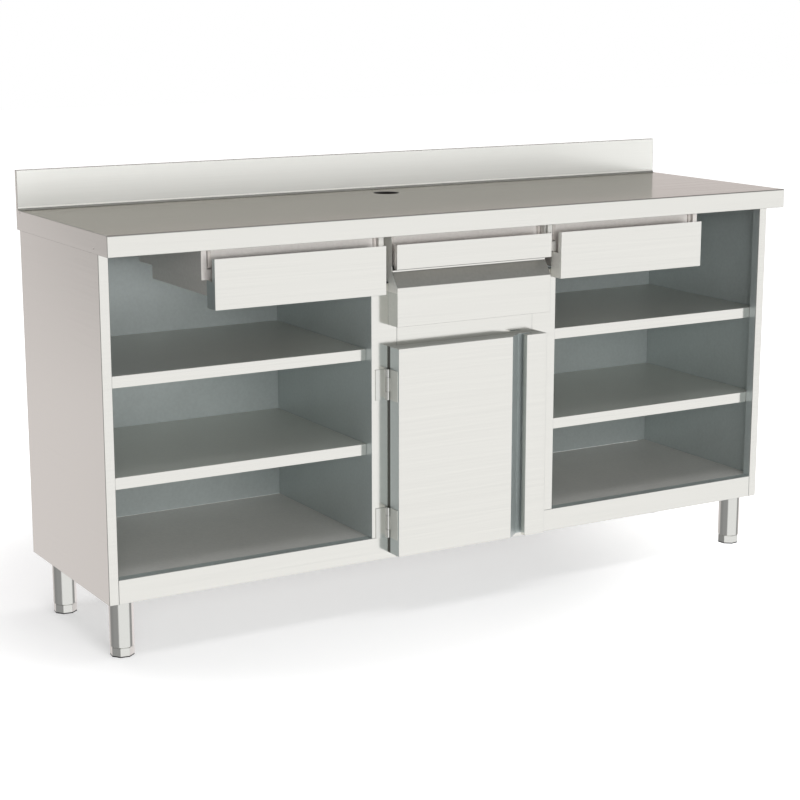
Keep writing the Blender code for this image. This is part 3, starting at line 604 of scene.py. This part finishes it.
class DressShelves(bpy.types.Operator):
    """Dress the four shelves"""

    bl_idname = "counter.dress_shelves"
    bl_label = "Shelves"

    def execute(self, context):
        for hand in HANDS:
            for level in LEVELS:
                dress(f"shelf_{hand}_{level}", ("belt_ground_stainless", "annealed_stainless"), ((FRONT,),))
        return {"FINISHED"}


class DressCasing(bpy.types.Operator):
    """Dress the casing with the hopper front, the chute and the drawer hangers"""

    bl_idname = "counter.dress_casing"
    bl_label = "Casing and hangers"

    def execute(self, context):
        # The sloped plate, which faces neither sideways nor forward, takes the dark finish as painted shade
        casing = dress("centre_casing", ("annealed_stainless", "belt_ground_stainless", "dulled_stainless"),
                       ((LEFT, RIGHT), (FRONT,)), blocks=[slope_hem()])
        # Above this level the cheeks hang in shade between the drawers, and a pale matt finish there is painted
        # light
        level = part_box("drawer_front_left")[0][2]
        finish_beyond(casing.data, "blasted_stainless", (0.0, 0.0, level), UP, (LEFT, RIGHT))
        dress("chute", ("rolled_stainless",))
        for drawer in HANDS:
            for hand in HANDS:
                # Hangers between two drawers stand in shade and take the pale matt finish as painted light
                dress(f"hanger_{drawer}_{hand}", RUNNER if drawer == hand else ("blasted_stainless",))
        return {"FINISHED"}


def slope_hem():
    """Turned-up hem along the top of the sloped plate, between the casing's cheeks."""
    sheet = bpy.context.scene.counter_sheet
    low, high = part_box("centre_casing")
    corners = corners_of("centre_casing")
    lead = min(corner.y for corner in corners if corner.z > high[2] - MERGE)
    top = max(corner.z for corner in corners if abs(corner.y - lead) < MERGE and corner.z < high[2] - MERGE)
    near = lead - sheet.thickness
    return (low[0] + sheet.thickness, near, top), (high[0] - sheet.thickness, lead, top + sheet.hem)


class DressDrawers(bpy.types.Operator):
    """Dress the drawer boxes, fronts and slides"""

    bl_idname = "counter.dress_drawers"
    bl_label = "Drawers"

    def execute(self, context):
        fold = context.scene.counter_sheet.rail_radius
        for drawer in DRAWERS:
            dress(f"drawer_box_{drawer}", RUNNER)
            front = f"drawer_front_{drawer}"
            dress(front, ("belt_ground_stainless", INSIDE_OF[drawer]), ((FRONT, UP),),
                  blocks=front_returns(front, whole=drawer == "centre"))
            for hand in HANDS:
                dress(f"slide_fixed_{drawer}_{hand}", ZINC, radius=fold)
                moving = f"slide_moving_{drawer}_{hand}"
                dress(moving, ZINC, radius=fold, blocks=[slide_stop(moving)])
        return {"FINISHED"}


def slide_stop(name):
    """Plate that closes the front end of a moving rail."""
    sheet = bpy.context.scene.counter_fasteners.rail_sheet
    low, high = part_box(name)
    return (low[0] + sheet, low[1], low[2] + sheet), (high[0] - sheet, low[1] + sheet, high[2] - sheet)


def front_returns(name, whole):
    """Returns behind both ends of an overlay front: narrow, or deep from its trough's rim up to the hangers."""
    sheet = bpy.context.scene.counter_sheet
    low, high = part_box(name)
    near = low[1] + sheet.thickness
    narrow = near + sheet.front_return
    ends = ((low[0], low[0] + sheet.thickness), (high[0] - sheet.thickness, high[0]))
    steps = ((low[2], high[2], narrow),)
    if not whole:
        rim = max(corner.z for corner in corners_of(name) if corner.y > high[1] - MERGE)
        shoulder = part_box("hanger_left_left")[0][2] - sheet.thickness
        steps = ((rim, shoulder, high[1]), (shoulder, high[2], narrow))
    return [((start, near, foot), (end, far, top)) for start, end in ends for foot, top, far in steps]


class DressDoor(bpy.types.Operator):
    """Dress the door skin with a dark band along its rear rim as painted shade of the gap, and its inner pan"""

    bl_idname = "counter.dress_door"
    bl_label = "Door"

    def execute(self, context):
        width = context.scene.counter_sheet.door_edging
        skin = dress("door_skin", ("belt_ground_stainless", "annealed_stainless", "rolled_stainless"),
                     ((FRONT,), (UP,)), deepest=PULL_BEHIND)
        low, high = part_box("door_skin")
        grind_pull(skin.data, low[0] + width)
        # A dark band on the door's rear rim is painted shade of the gap to the frame
        finish_beyond(skin.data, "extruded_pvc", (0.0, high[1] - width, 0.0), REAR, (LEFT, RIGHT, DOWN))
        dress("door_pan", SHEET, ((REAR,),))
        return {"FINISHED"}


def grind_pull(mesh, edge):
    """The far wall of the pull ground bright like the front: it looks left, right of the door's left edge."""
    for face in mesh.polygons:
        if face.center.x > edge and finish_index(face.normal, ((LEFT,),)) == 0:
            face.material_index = 0


class DressHinges(bpy.types.Operator):
    """Dress the hinge leaves and turn the pins"""

    bl_idname = "counter.dress_hinges"
    bl_label = "Hinges"

    def execute(self, context):
        radius = context.scene.counter_sheet.leaf_radius
        for level in LEVELS:
            dress(f"hinge_frame_leaf_{level}", BRIGHT, radius=radius)
            # The door leaf's plate takes a duller grey than the frame leaf: painted shade on the door's side
            plate = dress(f"hinge_door_leaf_{level}", ("annealed_stainless", *BRIGHT),
                          ((FRONT, REAR, LEFT, RIGHT, UP, DOWN),), radius=radius)
            brighten_knuckles(plate.data, f"hinge_pin_{level}")
            stand_for(pin_piece(level), f"hinge_pin_{level}")
        return {"FINISHED"}


def brighten_knuckles(mesh, pin):
    """The rolled knuckles of a door leaf polished like the pin, the plate left a duller grey as painted shade on
    the door's side.
    """
    low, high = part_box(pin)
    x, y = middle_of(low, high)
    reach = KNUCKLE_REACH * (high[0] - low[0])
    for face in mesh.polygons:
        if math.hypot(face.center.x - x, face.center.y - y) < reach:
            face.material_index = 1


def pin_piece(level):
    """Hinge pin with round ends."""
    low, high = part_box(f"hinge_pin_{level}")
    radius = (high[0] - low[0]) / 2
    foot = arc_points((0.0, low[2] + radius), radius, -90, 0, steps=5)
    dome = arc_points((0.0, high[2] - radius), radius, 0, 90, steps=5)
    bm = bmesh.new()
    turn_profile(bm, foot + dome, middle_of(low, high), PIN_SIDES)
    return new_piece(f"finished_hinge_pin_{level}", bm, BRIGHT)


class DressLegs(bpy.types.Operator):
    """Turn the legs with their plates, and dress the levelling feet"""

    bl_idname = "counter.dress_legs"
    bl_label = "Legs and feet"

    def execute(self, context):
        for corner in CORNERS:
            stand_for(leg_piece(corner), f"leg_{corner}")
            stand_for(foot_piece(corner), f"foot_{corner}")
        return {"FINISHED"}


class MakeBarAndCatch(bpy.types.Operator):
    """Turn the knock bar and model the door's magnetic catch"""

    bl_idname = "counter.make_bar_and_catch"
    bl_label = "Knock bar and catch"

    def execute(self, context):
        stand_for(bar_piece(), "knock_bar")
        stand_for(catch_piece(), "door_catch")
        return {"FINISHED"}


def arc_points(centre, radius, start, end, steps):
    """Points along an arc, in degrees, with both ends."""
    turns = [math.radians(start + (end - start) * step / steps) for step in range(steps + 1)]
    return [(centre[0] + radius * math.cos(turn), centre[1] + radius * math.sin(turn)) for turn in turns]


def middle_of(low, high):
    """X and Y midway between two corners."""
    return (low[0] + high[0]) / 2, (low[1] + high[1]) / 2


def turn_profile(bm, profile, centre, sides, closed=False):
    """Surface of revolution about an upright axis from points of radius and height; poles are closed."""
    turns = [2 * math.pi * side / sides for side in range(sides)]
    rings = []
    for radius, height in profile:
        spots = [(radius * math.cos(turn), radius * math.sin(turn)) for turn in turns]
        if radius < MERGE:
            spots = [(0.0, 0.0)]
        rings.append([bm.verts.new((centre[0] + x, centre[1] + y, height)) for x, y in spots])
    pairs = list(zip(rings, rings[1:]))
    if closed:
        pairs.append((rings[-1], rings[0]))
    made = []
    for lower, upper in pairs:
        for side in range(sides):
            after = side + 1
            corners = [lower[side % len(lower)], lower[after % len(lower)], upper[after % len(upper)],
                       upper[side % len(upper)]]
            made.append(bm.faces.new(list(dict.fromkeys(corners))))
    bmesh.ops.recalc_face_normals(bm, faces=made)
    return made


def rounded_slab(bm, low, high, radius, axis=2, steps=5):
    """Flat plate with round corners, its thickness along an axis."""
    first, second = [way for way in range(3) if way != axis]
    outline = []
    for sign_a, sign_b, start in ((1, 1, 0), (-1, 1, 90), (-1, -1, 180), (1, -1, 270)):
        corner = ((high if sign_a > 0 else low)[first] - sign_a * radius,
                  (high if sign_b > 0 else low)[second] - sign_b * radius)
        outline += arc_points(corner, radius, start, start + 90, steps)
    levels = []
    for height in (low[axis], high[axis]):
        ring = []
        for a, b in outline:
            place = [0.0, 0.0, 0.0]
            place[first], place[second], place[axis] = a, b, height
            ring.append(bm.verts.new(place))
        levels.append(ring)
    faces = [bm.faces.new(levels[0]), bm.faces.new(levels[1])]
    for at in range(len(outline)):
        after = (at + 1) % len(outline)
        faces.append(bm.faces.new((levels[0][at], levels[0][after], levels[1][after], levels[1][at])))
    bmesh.ops.recalc_face_normals(bm, faces=faces)
    return faces


def sharpen(bm):
    """Mark hard edges, so that smooth shading stops at them."""
    for edge in bm.edges:
        if edge.calc_face_angle(math.pi) > SOFT_BEND:
            edge.smooth = False


def leg_axis(corner):
    """Axis of a leg: its plate is whole on both sides and at the rear."""
    low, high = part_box(f"leg_{corner}")
    reach = (high[0] - low[0]) / 2
    return low[0] + reach, high[1] - reach


def leg_piece(corner):
    """Round tube with a plug at its foot, welded to the plate under the floor."""
    legs = bpy.context.scene.counter_legs
    low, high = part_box(f"leg_{corner}")
    foot, under = low[2], high[2] - legs.plate
    wall, plug, bore = legs.radius - legs.wall, foot + legs.plug, legs.bore
    toe = arc_points((legs.radius - legs.toe, foot + legs.toe), legs.toe, -90, 0, steps=4)
    weld = arc_points((legs.radius + legs.weld, under - legs.weld), legs.weld, 180, 90, steps=5)
    profile = [(bore, foot), *toe, *weld, (wall, under), (wall, plug), (bore, plug)]
    bm = bmesh.new()
    turn_profile(bm, profile, leg_axis(corner), legs.sides, closed=True)
    rounded_slab(bm, (low[0], low[1], under), high, legs.plate_corner)
    sharpen(bm)
    return new_piece(f"finished_leg_{corner}", bm, BRIGHT)


def foot_piece(corner):
    """Octagonal foot with eased edges and a rubber pad as wide as the foot under it."""
    legs = bpy.context.scene.counter_legs
    bm = merged(f"foot_{corner}")
    axis = Vector((*leg_axis(corner), 0.0))
    reach = max((vert.co - axis).xy.length for vert in bm.verts)
    for vert in bm.verts:
        if vert.co.z < MERGE:
            vert.co = axis + (vert.co - axis).normalized() * reach
    cut_across(bm, (0.0, 0.0, legs.pad_height), UP)
    weigh_edges(bm, legs.foot_edge)
    for face in bm.faces:
        face.material_index = 1 if face.calc_center_median().z < legs.pad_height else 0
    obj = new_piece(f"finished_foot_{corner}", bm, (*BRIGHT, "moulded_rubber"))
    return ease(obj, legs.foot_edge, steps=2)


def bar_piece():
    """Rubber sleeve on a steel bar that shows at both ends."""
    low, high = (Vector(corner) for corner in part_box("knock_bar"))
    reach, radius = (high.x - low.x) / 2, (high.z - low.z) / 2
    lip, core, groove = radius / 4, radius / 2, radius / 16
    sleeve_end = reach - lip / 2
    profile = [(0.0, -reach), (core, -reach), (core, -sleeve_end)]
    profile += arc_points((radius - lip, lip - sleeve_end), lip, -90, 0, steps=4)
    for mark in (3 * lip - sleeve_end, sleeve_end - 3 * lip):
        profile += [(radius, mark - groove), (radius - groove, mark), (radius, mark + groove)]
    profile += arc_points((radius - lip, sleeve_end - lip), lip, 0, 90, steps=4)
    profile += [(core, sleeve_end), (core, reach), (0.0, reach)]
    bm = bmesh.new()
    for face in turn_profile(bm, profile, (0.0, 0.0), BAR_SIDES):
        face.material_index = 1 if face.calc_center_median().xy.length < core else 0
    sharpen(bm)
    bm.transform(Matrix.Translation((low + high) / 2) @ Matrix.Rotation(math.pi / 2, 4, "Y"))
    return new_piece("finished_knock_bar", bm, ("moulded_rubber", *BRIGHT))


def catch_piece():
    """Moulded body of the catch with two steel pole plates that the door meets."""
    low, high = (Vector(corner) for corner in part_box("door_catch"))
    pole, inset = 0.0025, 0.0035
    bm = bmesh.new()
    rounded_slab(bm, low + Vector((0.0, pole, 0.0)), high, inset, axis=0)
    for side in (low.x + inset, high.x - inset - pole):
        near, far = (side, low.y, low.z + 2 * inset), (side + pole, low.y + 2 * pole, high.z - 2 * inset)
        for face in rounded_slab(bm, near, far, pole / 4, steps=2):
            face.material_index = 1
    sharpen(bm)
    return new_piece("finished_door_catch", bm, ("moulded_abs", *ZINC))


def head_tree():
    """Geometry Nodes tree: a low two-step head on each point of a carrier, turned along its facing."""
    tree = bpy.data.node_groups.new("Fastener heads", "GeometryNodeTree")
    for label, kind in (("Carrier", "Geometry"), ("Radius", "Float"), ("Height", "Float"), ("Sides", "Int"),
                        ("Finish", "Material")):
        tree.interface.new_socket(label, in_out="INPUT", socket_type=f"NodeSocket{kind}")
    tree.interface.new_socket("Heads", in_out="OUTPUT", socket_type="NodeSocketGeometry")
    given = node(tree, "NodeGroupInput").outputs
    step, crown, half = [
        node(tree, "ShaderNodeMath", {"operation": "MULTIPLY"}, {0: given[label], 1: share}).outputs[0]
        for label, share in (("Radius", STEP_SHARE), ("Radius", CROWN_SHARE), ("Height", 0.5))]
    skirt, cap = [
        node(tree, "GeometryNodeMeshCone", inputs={"Vertices": given["Sides"], "Radius Top": upper,
                                                   "Radius Bottom": lower, "Depth": half})
        for lower, upper in ((given["Radius"], step), (step, crown))]
    lift = node(tree, "ShaderNodeCombineXYZ", inputs={"Z": half})
    raised = node(tree, "GeometryNodeTransform", inputs={0: cap.outputs[0], "Translation": lift.outputs[0]})
    head = node(tree, "GeometryNodeJoinGeometry")
    tree.links.new(skirt.outputs[0], head.inputs[0])
    tree.links.new(raised.outputs[0], head.inputs[0])
    facing = node(tree, "GeometryNodeInputNamedAttribute", {"data_type": "FLOAT_VECTOR"}, {"Name": "facing"})
    turn = node(tree, "FunctionNodeAlignRotationToVector", {"axis": "Z"}, {"Vector": facing.outputs[0]})
    spread = node(tree, "GeometryNodeInstanceOnPoints",
                  inputs={"Points": given["Carrier"], "Instance": head.outputs[0], "Rotation": turn.outputs[0]})
    real = node(tree, "GeometryNodeRealizeInstances", inputs={0: spread.outputs[0]})
    coated = node(tree, "GeometryNodeSetMaterial", inputs={0: real.outputs[0], "Material": given["Finish"]})
    node(tree, "NodeGroupOutput", inputs={0: coated.outputs[0]})
    return tree


def fasten(name, places, sizes, body):
    """One mesh of plated heads for a body, from places of (point, facing) and sizes of radius, height, sides."""
    tree = bpy.data.node_groups.get("Fastener heads") or head_tree()
    mesh = bpy.data.meshes.new(f"{name}_carrier")
    mesh.from_pydata([place for place, _ in places], [], [])
    facing = mesh.attributes.new("facing", "FLOAT_VECTOR", "POINT")
    for at, (_, way) in enumerate(places):
        facing.data[at].vector = way
    carrier = bpy.data.objects.new(f"{name}_carrier", mesh)
    bpy.context.scene.collection.objects.link(carrier)
    modifier = carrier.modifiers.new("Heads", "NODES")
    modifier.node_group = tree
    values = {"Radius": sizes[0], "Height": sizes[1], "Sides": sizes[2], "Finish": finish_named(*ZINC)}
    for socket in tree.interface.items_tree:
        if socket.in_out == "INPUT" and socket.name in values:
            modifier[socket.identifier] = values[socket.name]
    bpy.context.view_layer.update()
    made = bpy.data.meshes.new_from_object(carrier.evaluated_get(bpy.context.evaluated_depsgraph_get()))
    bpy.data.objects.remove(carrier)
    obj = bpy.data.objects.new(name, made)
    bpy.context.scene.collection.objects.link(obj)
    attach(obj, body)


class FastenPieces(bpy.types.Operator):
    """Set the screws of the slides, the bolts of the legs and the rivets of the back and the worktop's ends"""

    bl_idname = "counter.fasten_pieces"
    bl_label = "Screws, bolts and rivets"

    def execute(self, context):
        sizes = context.scene.counter_fasteners
        screw = (sizes.screw_radius, sizes.screw_height, SCREW_SIDES)
        bolt = (sizes.bolt_radius, sizes.bolt_height, BOLT_SIDES)
        rivet = (sizes.rivet_radius, sizes.rivet_height, RIVET_SIDES)
        fixed = []
        for drawer in DRAWERS:
            moving = []
            for hand, side in HANDS.items():
                fixed += rail_screws(f"slide_fixed_{drawer}_{hand}", side)
                moving += rail_screws(f"slide_moving_{drawer}_{hand}", -side)
            fasten(f"slide_screws_{drawer}", moving, screw, f"drawer_{drawer}")
        fasten("slide_screws_fixed", fixed, screw, "counter")
        bolts = [place for corner in CORNERS for place in plate_bolts(corner)]
        fasten("leg_bolts", bolts, bolt, "counter")
        fasten("rivets", back_rivets() + end_rivets(), rivet, "counter")
        return {"FINISHED"}


def rail_screws(name, side):
    """Three screws along a rail, on the inner face of its web, which is on the given side."""
    sheet = bpy.context.scene.counter_fasteners.rail_sheet
    low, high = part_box(name)
    x = (high[0] if side > 0 else low[0]) - side * sheet
    middle = (low[2] + high[2]) / 2
    return [((x, low[1] + (high[1] - low[1]) * share, middle), (-side, 0, 0)) for share in RAIL_SCREWS]


def plate_bolts(corner):
    """Four bolts up through a leg's plate."""
    legs = bpy.context.scene.counter_legs
    low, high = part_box(f"leg_{corner}")
    columns, rows = ((low[way] + legs.bolt_inset, high[way] - legs.bolt_inset) for way in (0, 1))
    return [((x, y, high[2] - legs.plate), DOWN) for x in columns for y in rows]


def back_rivets():
    """Rivets up the rear flanges of the end panels, and through the back sheet into the dividers."""
    inset = bpy.context.scene.counter_fasteners.rivet_inset
    places = []
    for hand, side in HANDS.items():
        for piece, sheet, shares in ((f"side_panel_{hand}", f"side_panel_{hand}", PANEL_RIVETS),
                                     (f"divider_{hand}", "back_panel", DIVIDER_RIVETS)):
            low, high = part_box(piece)
            x = (high[0] if side > 0 else low[0]) - side * inset
            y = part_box(sheet)[1][1]
            places += [((x, y, low[2] + (high[2] - low[2]) * share), REAR) for share in shares]
    return places


def end_rivets():
    """Two rivets through each end of the worktop's apron, at the front of the end panel and under the upstand."""
    sizes = bpy.context.scene.counter_fasteners
    low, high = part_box("worktop")
    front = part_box("side_panel_left")[0][1] + sizes.front_rivet_back, low[2] + sizes.front_rivet_rise
    rear = high[1] - sizes.rear_rivet_lead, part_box("worktop_board")[1][2] - sizes.rear_rivet_drop
    return [((x, *spot), way) for spot in (front, rear) for x, way in ((low[0], LEFT), (high[0], RIGHT))]


def grey(level):
    """Grey of an even level."""
    return level, level, level


# Studio seen in the steel, as stops of degrees and colour: its level colour by bearing from the front, plus to
# the left, then how far a bearing counts as behind, and the change with height in front and behind
WHITE, FLAG, BLACK = grey(1.0), grey(0.36), grey(0.0)
WARM, DUSK = (0.894, 0.841, 0.835), (1.09, 1.026, 1.03)
BEARINGS = ((-180, DUSK), (-98, DUSK), (-90, FLAG), (-66, FLAG), (-58, WHITE), (46, WHITE), (54, FLAG),
            (136, FLAG), (160, WARM), (180, WARM))
BEHIND = ((-180, WHITE), (-120, WHITE), (-95, BLACK), (95, BLACK), (120, WHITE), (180, WHITE))
HEIGHTS_FRONT = ((-90, WHITE), (0.5, WHITE), (5, FLAG), (90, grey(0.30)))
HEIGHTS_BEHIND = ((-90, grey(0.85)), (0, grey(0.85)), (3, WHITE), (9, WHITE), (16, grey(0.5)), (90, grey(0.30)))
# A screen at the left rear: the bearing where it starts, those over which it ends, the heights over which its
# foot fades in, in degrees, and how much it dims
SCREEN_START, SCREEN_END, SCREEN_FOOT = 100, (157.5, 161.5), (-12, -6)
SCREEN_SHADE = 0.48
# Shift that centres the painted shadow in the floor's glow, and the distances over which the glow turns fully
# white
SHADOW_SHIFT = (0.32, -0.20, 0.0)
WHITE_FROM, WHITE_TO = 0.7, 1.5
FLOOR_REACH = 20.0
# Lamps: width and depth, place, and turn in degrees
LAMPS = {
    "overhead": ((4.5, 3.5), (0.0, 0.0, 4.2), (0, 0, 0)),
    "front": ((5.0, 1.6), (-1.1, -4.8, 1.5), (81, 0, -13)),
}
SENSOR = 36.0


def ramp(tree, source, reach, stops):
    """Colour by an angle between minus and plus the reach in degrees, from stops of angle and colour."""
    spread = node(tree, "ShaderNodeMapRange", inputs={0: source, 1: math.radians(-reach), 2: math.radians(reach)})
    made = node(tree, "ShaderNodeValToRGB", inputs={0: spread.outputs[0]})
    elements = made.color_ramp.elements
    while len(elements) < len(stops):
        elements.new(1.0)
    for element, (angle, colour) in zip(elements, stops):
        element.position = (angle + reach) / (2 * reach)
        element.color = (*colour, 1.0)
    return made.outputs[0]


def set_world():
    """White to the camera; to everything else a soft studio: white floor in front, grey flags at the sides."""
    world = bpy.data.worlds.new("Soft studio")
    world.use_nodes = True
    tree = world.node_tree
    tree.nodes.clear()
    way = node(tree, "ShaderNodeTexCoord")
    parts = node(tree, "ShaderNodeSeparateXYZ", inputs={0: way.outputs["Generated"]})
    leftward, forward = [
        node(tree, "ShaderNodeMath", {"operation": "MULTIPLY"}, {0: parts.outputs[axis], 1: -1.0}).outputs[0]
        for axis in ("X", "Y")]
    bearing = node(tree, "ShaderNodeMath", {"operation": "ARCTAN2"}, {0: leftward, 1: forward}).outputs[0]
    height = node(tree, "ShaderNodeMath", {"operation": "ARCSINE"}, {0: parts.outputs["Z"]}).outputs[0]
    around = ramp(tree, bearing, 180, BEARINGS)
    behind = ramp(tree, bearing, 180, BEHIND)
    front_fall = ramp(tree, height, 90, HEIGHTS_FRONT)
    behind_fall = ramp(tree, height, 90, HEIGHTS_BEHIND)
    fall = node(tree, "ShaderNodeMix", {"data_type": "RGBA"}, {0: behind, 6: front_fall, 7: behind_fall})
    studio = node(tree, "ShaderNodeMix", {"data_type": "RGBA", "blend_type": "MULTIPLY"},
                  {0: 1.0, 6: around, 7: fall.outputs[2]})
    dimmed = node(tree, "ShaderNodeMix", {"data_type": "RGBA"},
                  {0: screen_shade(tree, bearing, height), 6: studio.outputs[2], 7: (*BLACK, 1.0)})
    path = node(tree, "ShaderNodeLightPath")
    shown = node(tree, "ShaderNodeMix", {"data_type": "RGBA"},
                 {0: path.outputs["Is Camera Ray"], 6: dimmed.outputs[2], 7: (*WHITE, 1.0)})
    light = node(tree, "ShaderNodeBackground", inputs={"Color": shown.outputs[2], "Strength": 1.0})
    node(tree, "ShaderNodeOutputWorld", inputs={"Surface": light.outputs[0]})
    bpy.context.scene.world = world


def screen_shade(tree, bearing, height):
    """How much the screen at the left rear dims the studio in each direction."""
    end, foot = ([math.radians(angle) for angle in angles] for angles in (SCREEN_END, SCREEN_FOOT))
    before = node(tree, "ShaderNodeMapRange", inputs={0: bearing, 1: end[0], 2: end[1], 3: SCREEN_SHADE, 4: 0.0})
    above = node(tree, "ShaderNodeMapRange", inputs={0: height, 1: foot[0], 2: foot[1], 3: 0.0, 4: 1.0})
    after = node(tree, "ShaderNodeMath", {"operation": "GREATER_THAN"},
                 {0: bearing, 1: math.radians(SCREEN_START)})
    screen = node(tree, "ShaderNodeMath", {"operation": "MULTIPLY"}, {0: before.outputs[0], 1: above.outputs[0]})
    shade = node(tree, "ShaderNodeMath", {"operation": "MULTIPLY"}, {0: screen.outputs[0], 1: after.outputs[0]})
    return shade.outputs[0]


def floor_paint(settings):
    """White paint that keeps the real shadow: it glows to the camera only, fully away from the counter and less
    near it, which paints a shadow round the counter.
    """
    material, tree, place = blank_material("floor_paint")
    centred = node(tree, "ShaderNodeMapping", inputs={0: place["Object"], "Location": SHADOW_SHIFT})
    away = node(tree, "ShaderNodeVectorMath", {"operation": "LENGTH"}, {0: centred.outputs[0]})
    white = node(tree, "ShaderNodeMapRange", {"interpolation_type": "SMOOTHSTEP"},
                 {0: away.outputs["Value"], 1: WHITE_FROM, 2: WHITE_TO, 3: settings.floor_base, 4: 1.0})
    path = node(tree, "ShaderNodeLightPath")
    glow = node(tree, "ShaderNodeMath", {"operation": "MULTIPLY"},
                {0: path.outputs["Is Camera Ray"], 1: white.outputs[0]})
    matt = node(tree, "ShaderNodeBsdfDiffuse", inputs={"Color": settings.floor_colour})
    shine = node(tree, "ShaderNodeEmission", inputs={"Strength": glow.outputs[0]})
    both = node(tree, "ShaderNodeAddShader", inputs={0: matt.outputs[0], 1: shine.outputs[0]})
    node(tree, "ShaderNodeOutputMaterial", inputs={"Surface": both.outputs[0]})
    return material


def hang_lamp(name, power):
    """Soft panel lamp that shines along its own -Z and isn't seen in the steel."""
    size, place, turn = LAMPS[name]
    lamp = bpy.data.lights.new(name, "AREA")
    lamp.shape = "RECTANGLE"
    lamp.size, lamp.size_y = size
    lamp.energy = power
    light = bpy.data.objects.new(name, lamp)
    light.location = place
    light.rotation_euler = [math.radians(angle) for angle in turn]
    light.visible_glossy = False
    light.visible_camera = False
    bpy.context.scene.collection.objects.link(light)


class SetStage(bpy.types.Operator):
    """Lay the floor, set the soft light and place the camera"""

    bl_idname = "counter.set_stage"
    bl_label = "Stage"

    def execute(self, context):
        settings = context.scene.counter_stage
        mesh = bpy.data.meshes.new("floor")
        corners = [(a * FLOOR_REACH, b * FLOOR_REACH, 0.0) for a, b in ((-1, -1), (1, -1), (1, 1), (-1, 1))]
        mesh.from_pydata(corners, [], [(0, 1, 2, 3)])
        mesh.materials.append(floor_paint(settings))
        floor = bpy.data.objects.new("floor", mesh)
        floor.visible_glossy = False
        context.scene.collection.objects.link(floor)
        set_world()
        hang_lamp("overhead", settings.lamp_power)
        hang_lamp("front", settings.front_power)
        camera = bpy.data.cameras.new("camera")
        camera.lens = settings.lens
        camera.sensor_width = SENSOR
        seat = bpy.data.objects.new("camera", camera)
        seat.location = settings.camera_place
        seat.rotation_euler = settings.camera_turn
        context.scene.collection.objects.link(seat)
        context.scene.camera = seat
        context.scene.view_settings.view_transform = "Standard"
        return {"FINISHED"}


OPERATORS = (DressWorktop, DressCarcass, DressShelves, DressCasing, DressDrawers, DressDoor, DressHinges,
             DressLegs, MakeBarAndCatch, FastenPieces, SetStage)
SETTINGS = {"counter_sheet": SheetSizes, "counter_steel": SteelFinish, "counter_other": OtherFinish,
            "counter_legs": LegSizes, "counter_fasteners": FastenerSizes, "counter_stage": StageSettings}


class CounterPanel(bpy.types.Panel):
    """Sizes, colours and steps of the counter"""

    bl_idname = "VIEW3D_PT_counter"
    bl_label = "Coffee machine counter"
    bl_space_type = "VIEW_3D"
    bl_region_type = "UI"
    bl_category = "Counter"

    def draw(self, context):
        for name, group in SETTINGS.items():
            box = self.layout.box()
            for key in group.__annotations__:
                box.prop(getattr(context.scene, name), key)
        for operator in OPERATORS:
            self.layout.operator(operator.bl_idname)


def register():
    """Register the settings, the steps and the panel."""
    for name, group in SETTINGS.items():
        bpy.utils.register_class(group)
        setattr(bpy.types.Scene, name, PointerProperty(type=group))
    for item in (*OPERATORS, CounterPanel):
        bpy.utils.register_class(item)


def unregister():
    """Undo what register does."""
    for item in (CounterPanel, *reversed(OPERATORS)):
        bpy.utils.unregister_class(item)
    for name, group in SETTINGS.items():
        delattr(bpy.types.Scene, name)
        bpy.utils.unregister_class(group)


def main():
    """Dress the counter step by step and set its stage."""
    register()
    bpy.ops.counter.dress_worktop()
    bpy.ops.counter.dress_carcass()
    bpy.ops.counter.dress_shelves()
    bpy.ops.counter.dress_casing()
    bpy.ops.counter.dress_drawers()
    bpy.ops.counter.dress_door()
    bpy.ops.counter.dress_hinges()
    bpy.ops.counter.dress_legs()
    bpy.ops.counter.make_bar_and_catch()
    bpy.ops.counter.fasten_pieces()
    bpy.ops.counter.set_stage()
    bpy.context.view_layer.update()


if __name__ == "__main__":
    main()
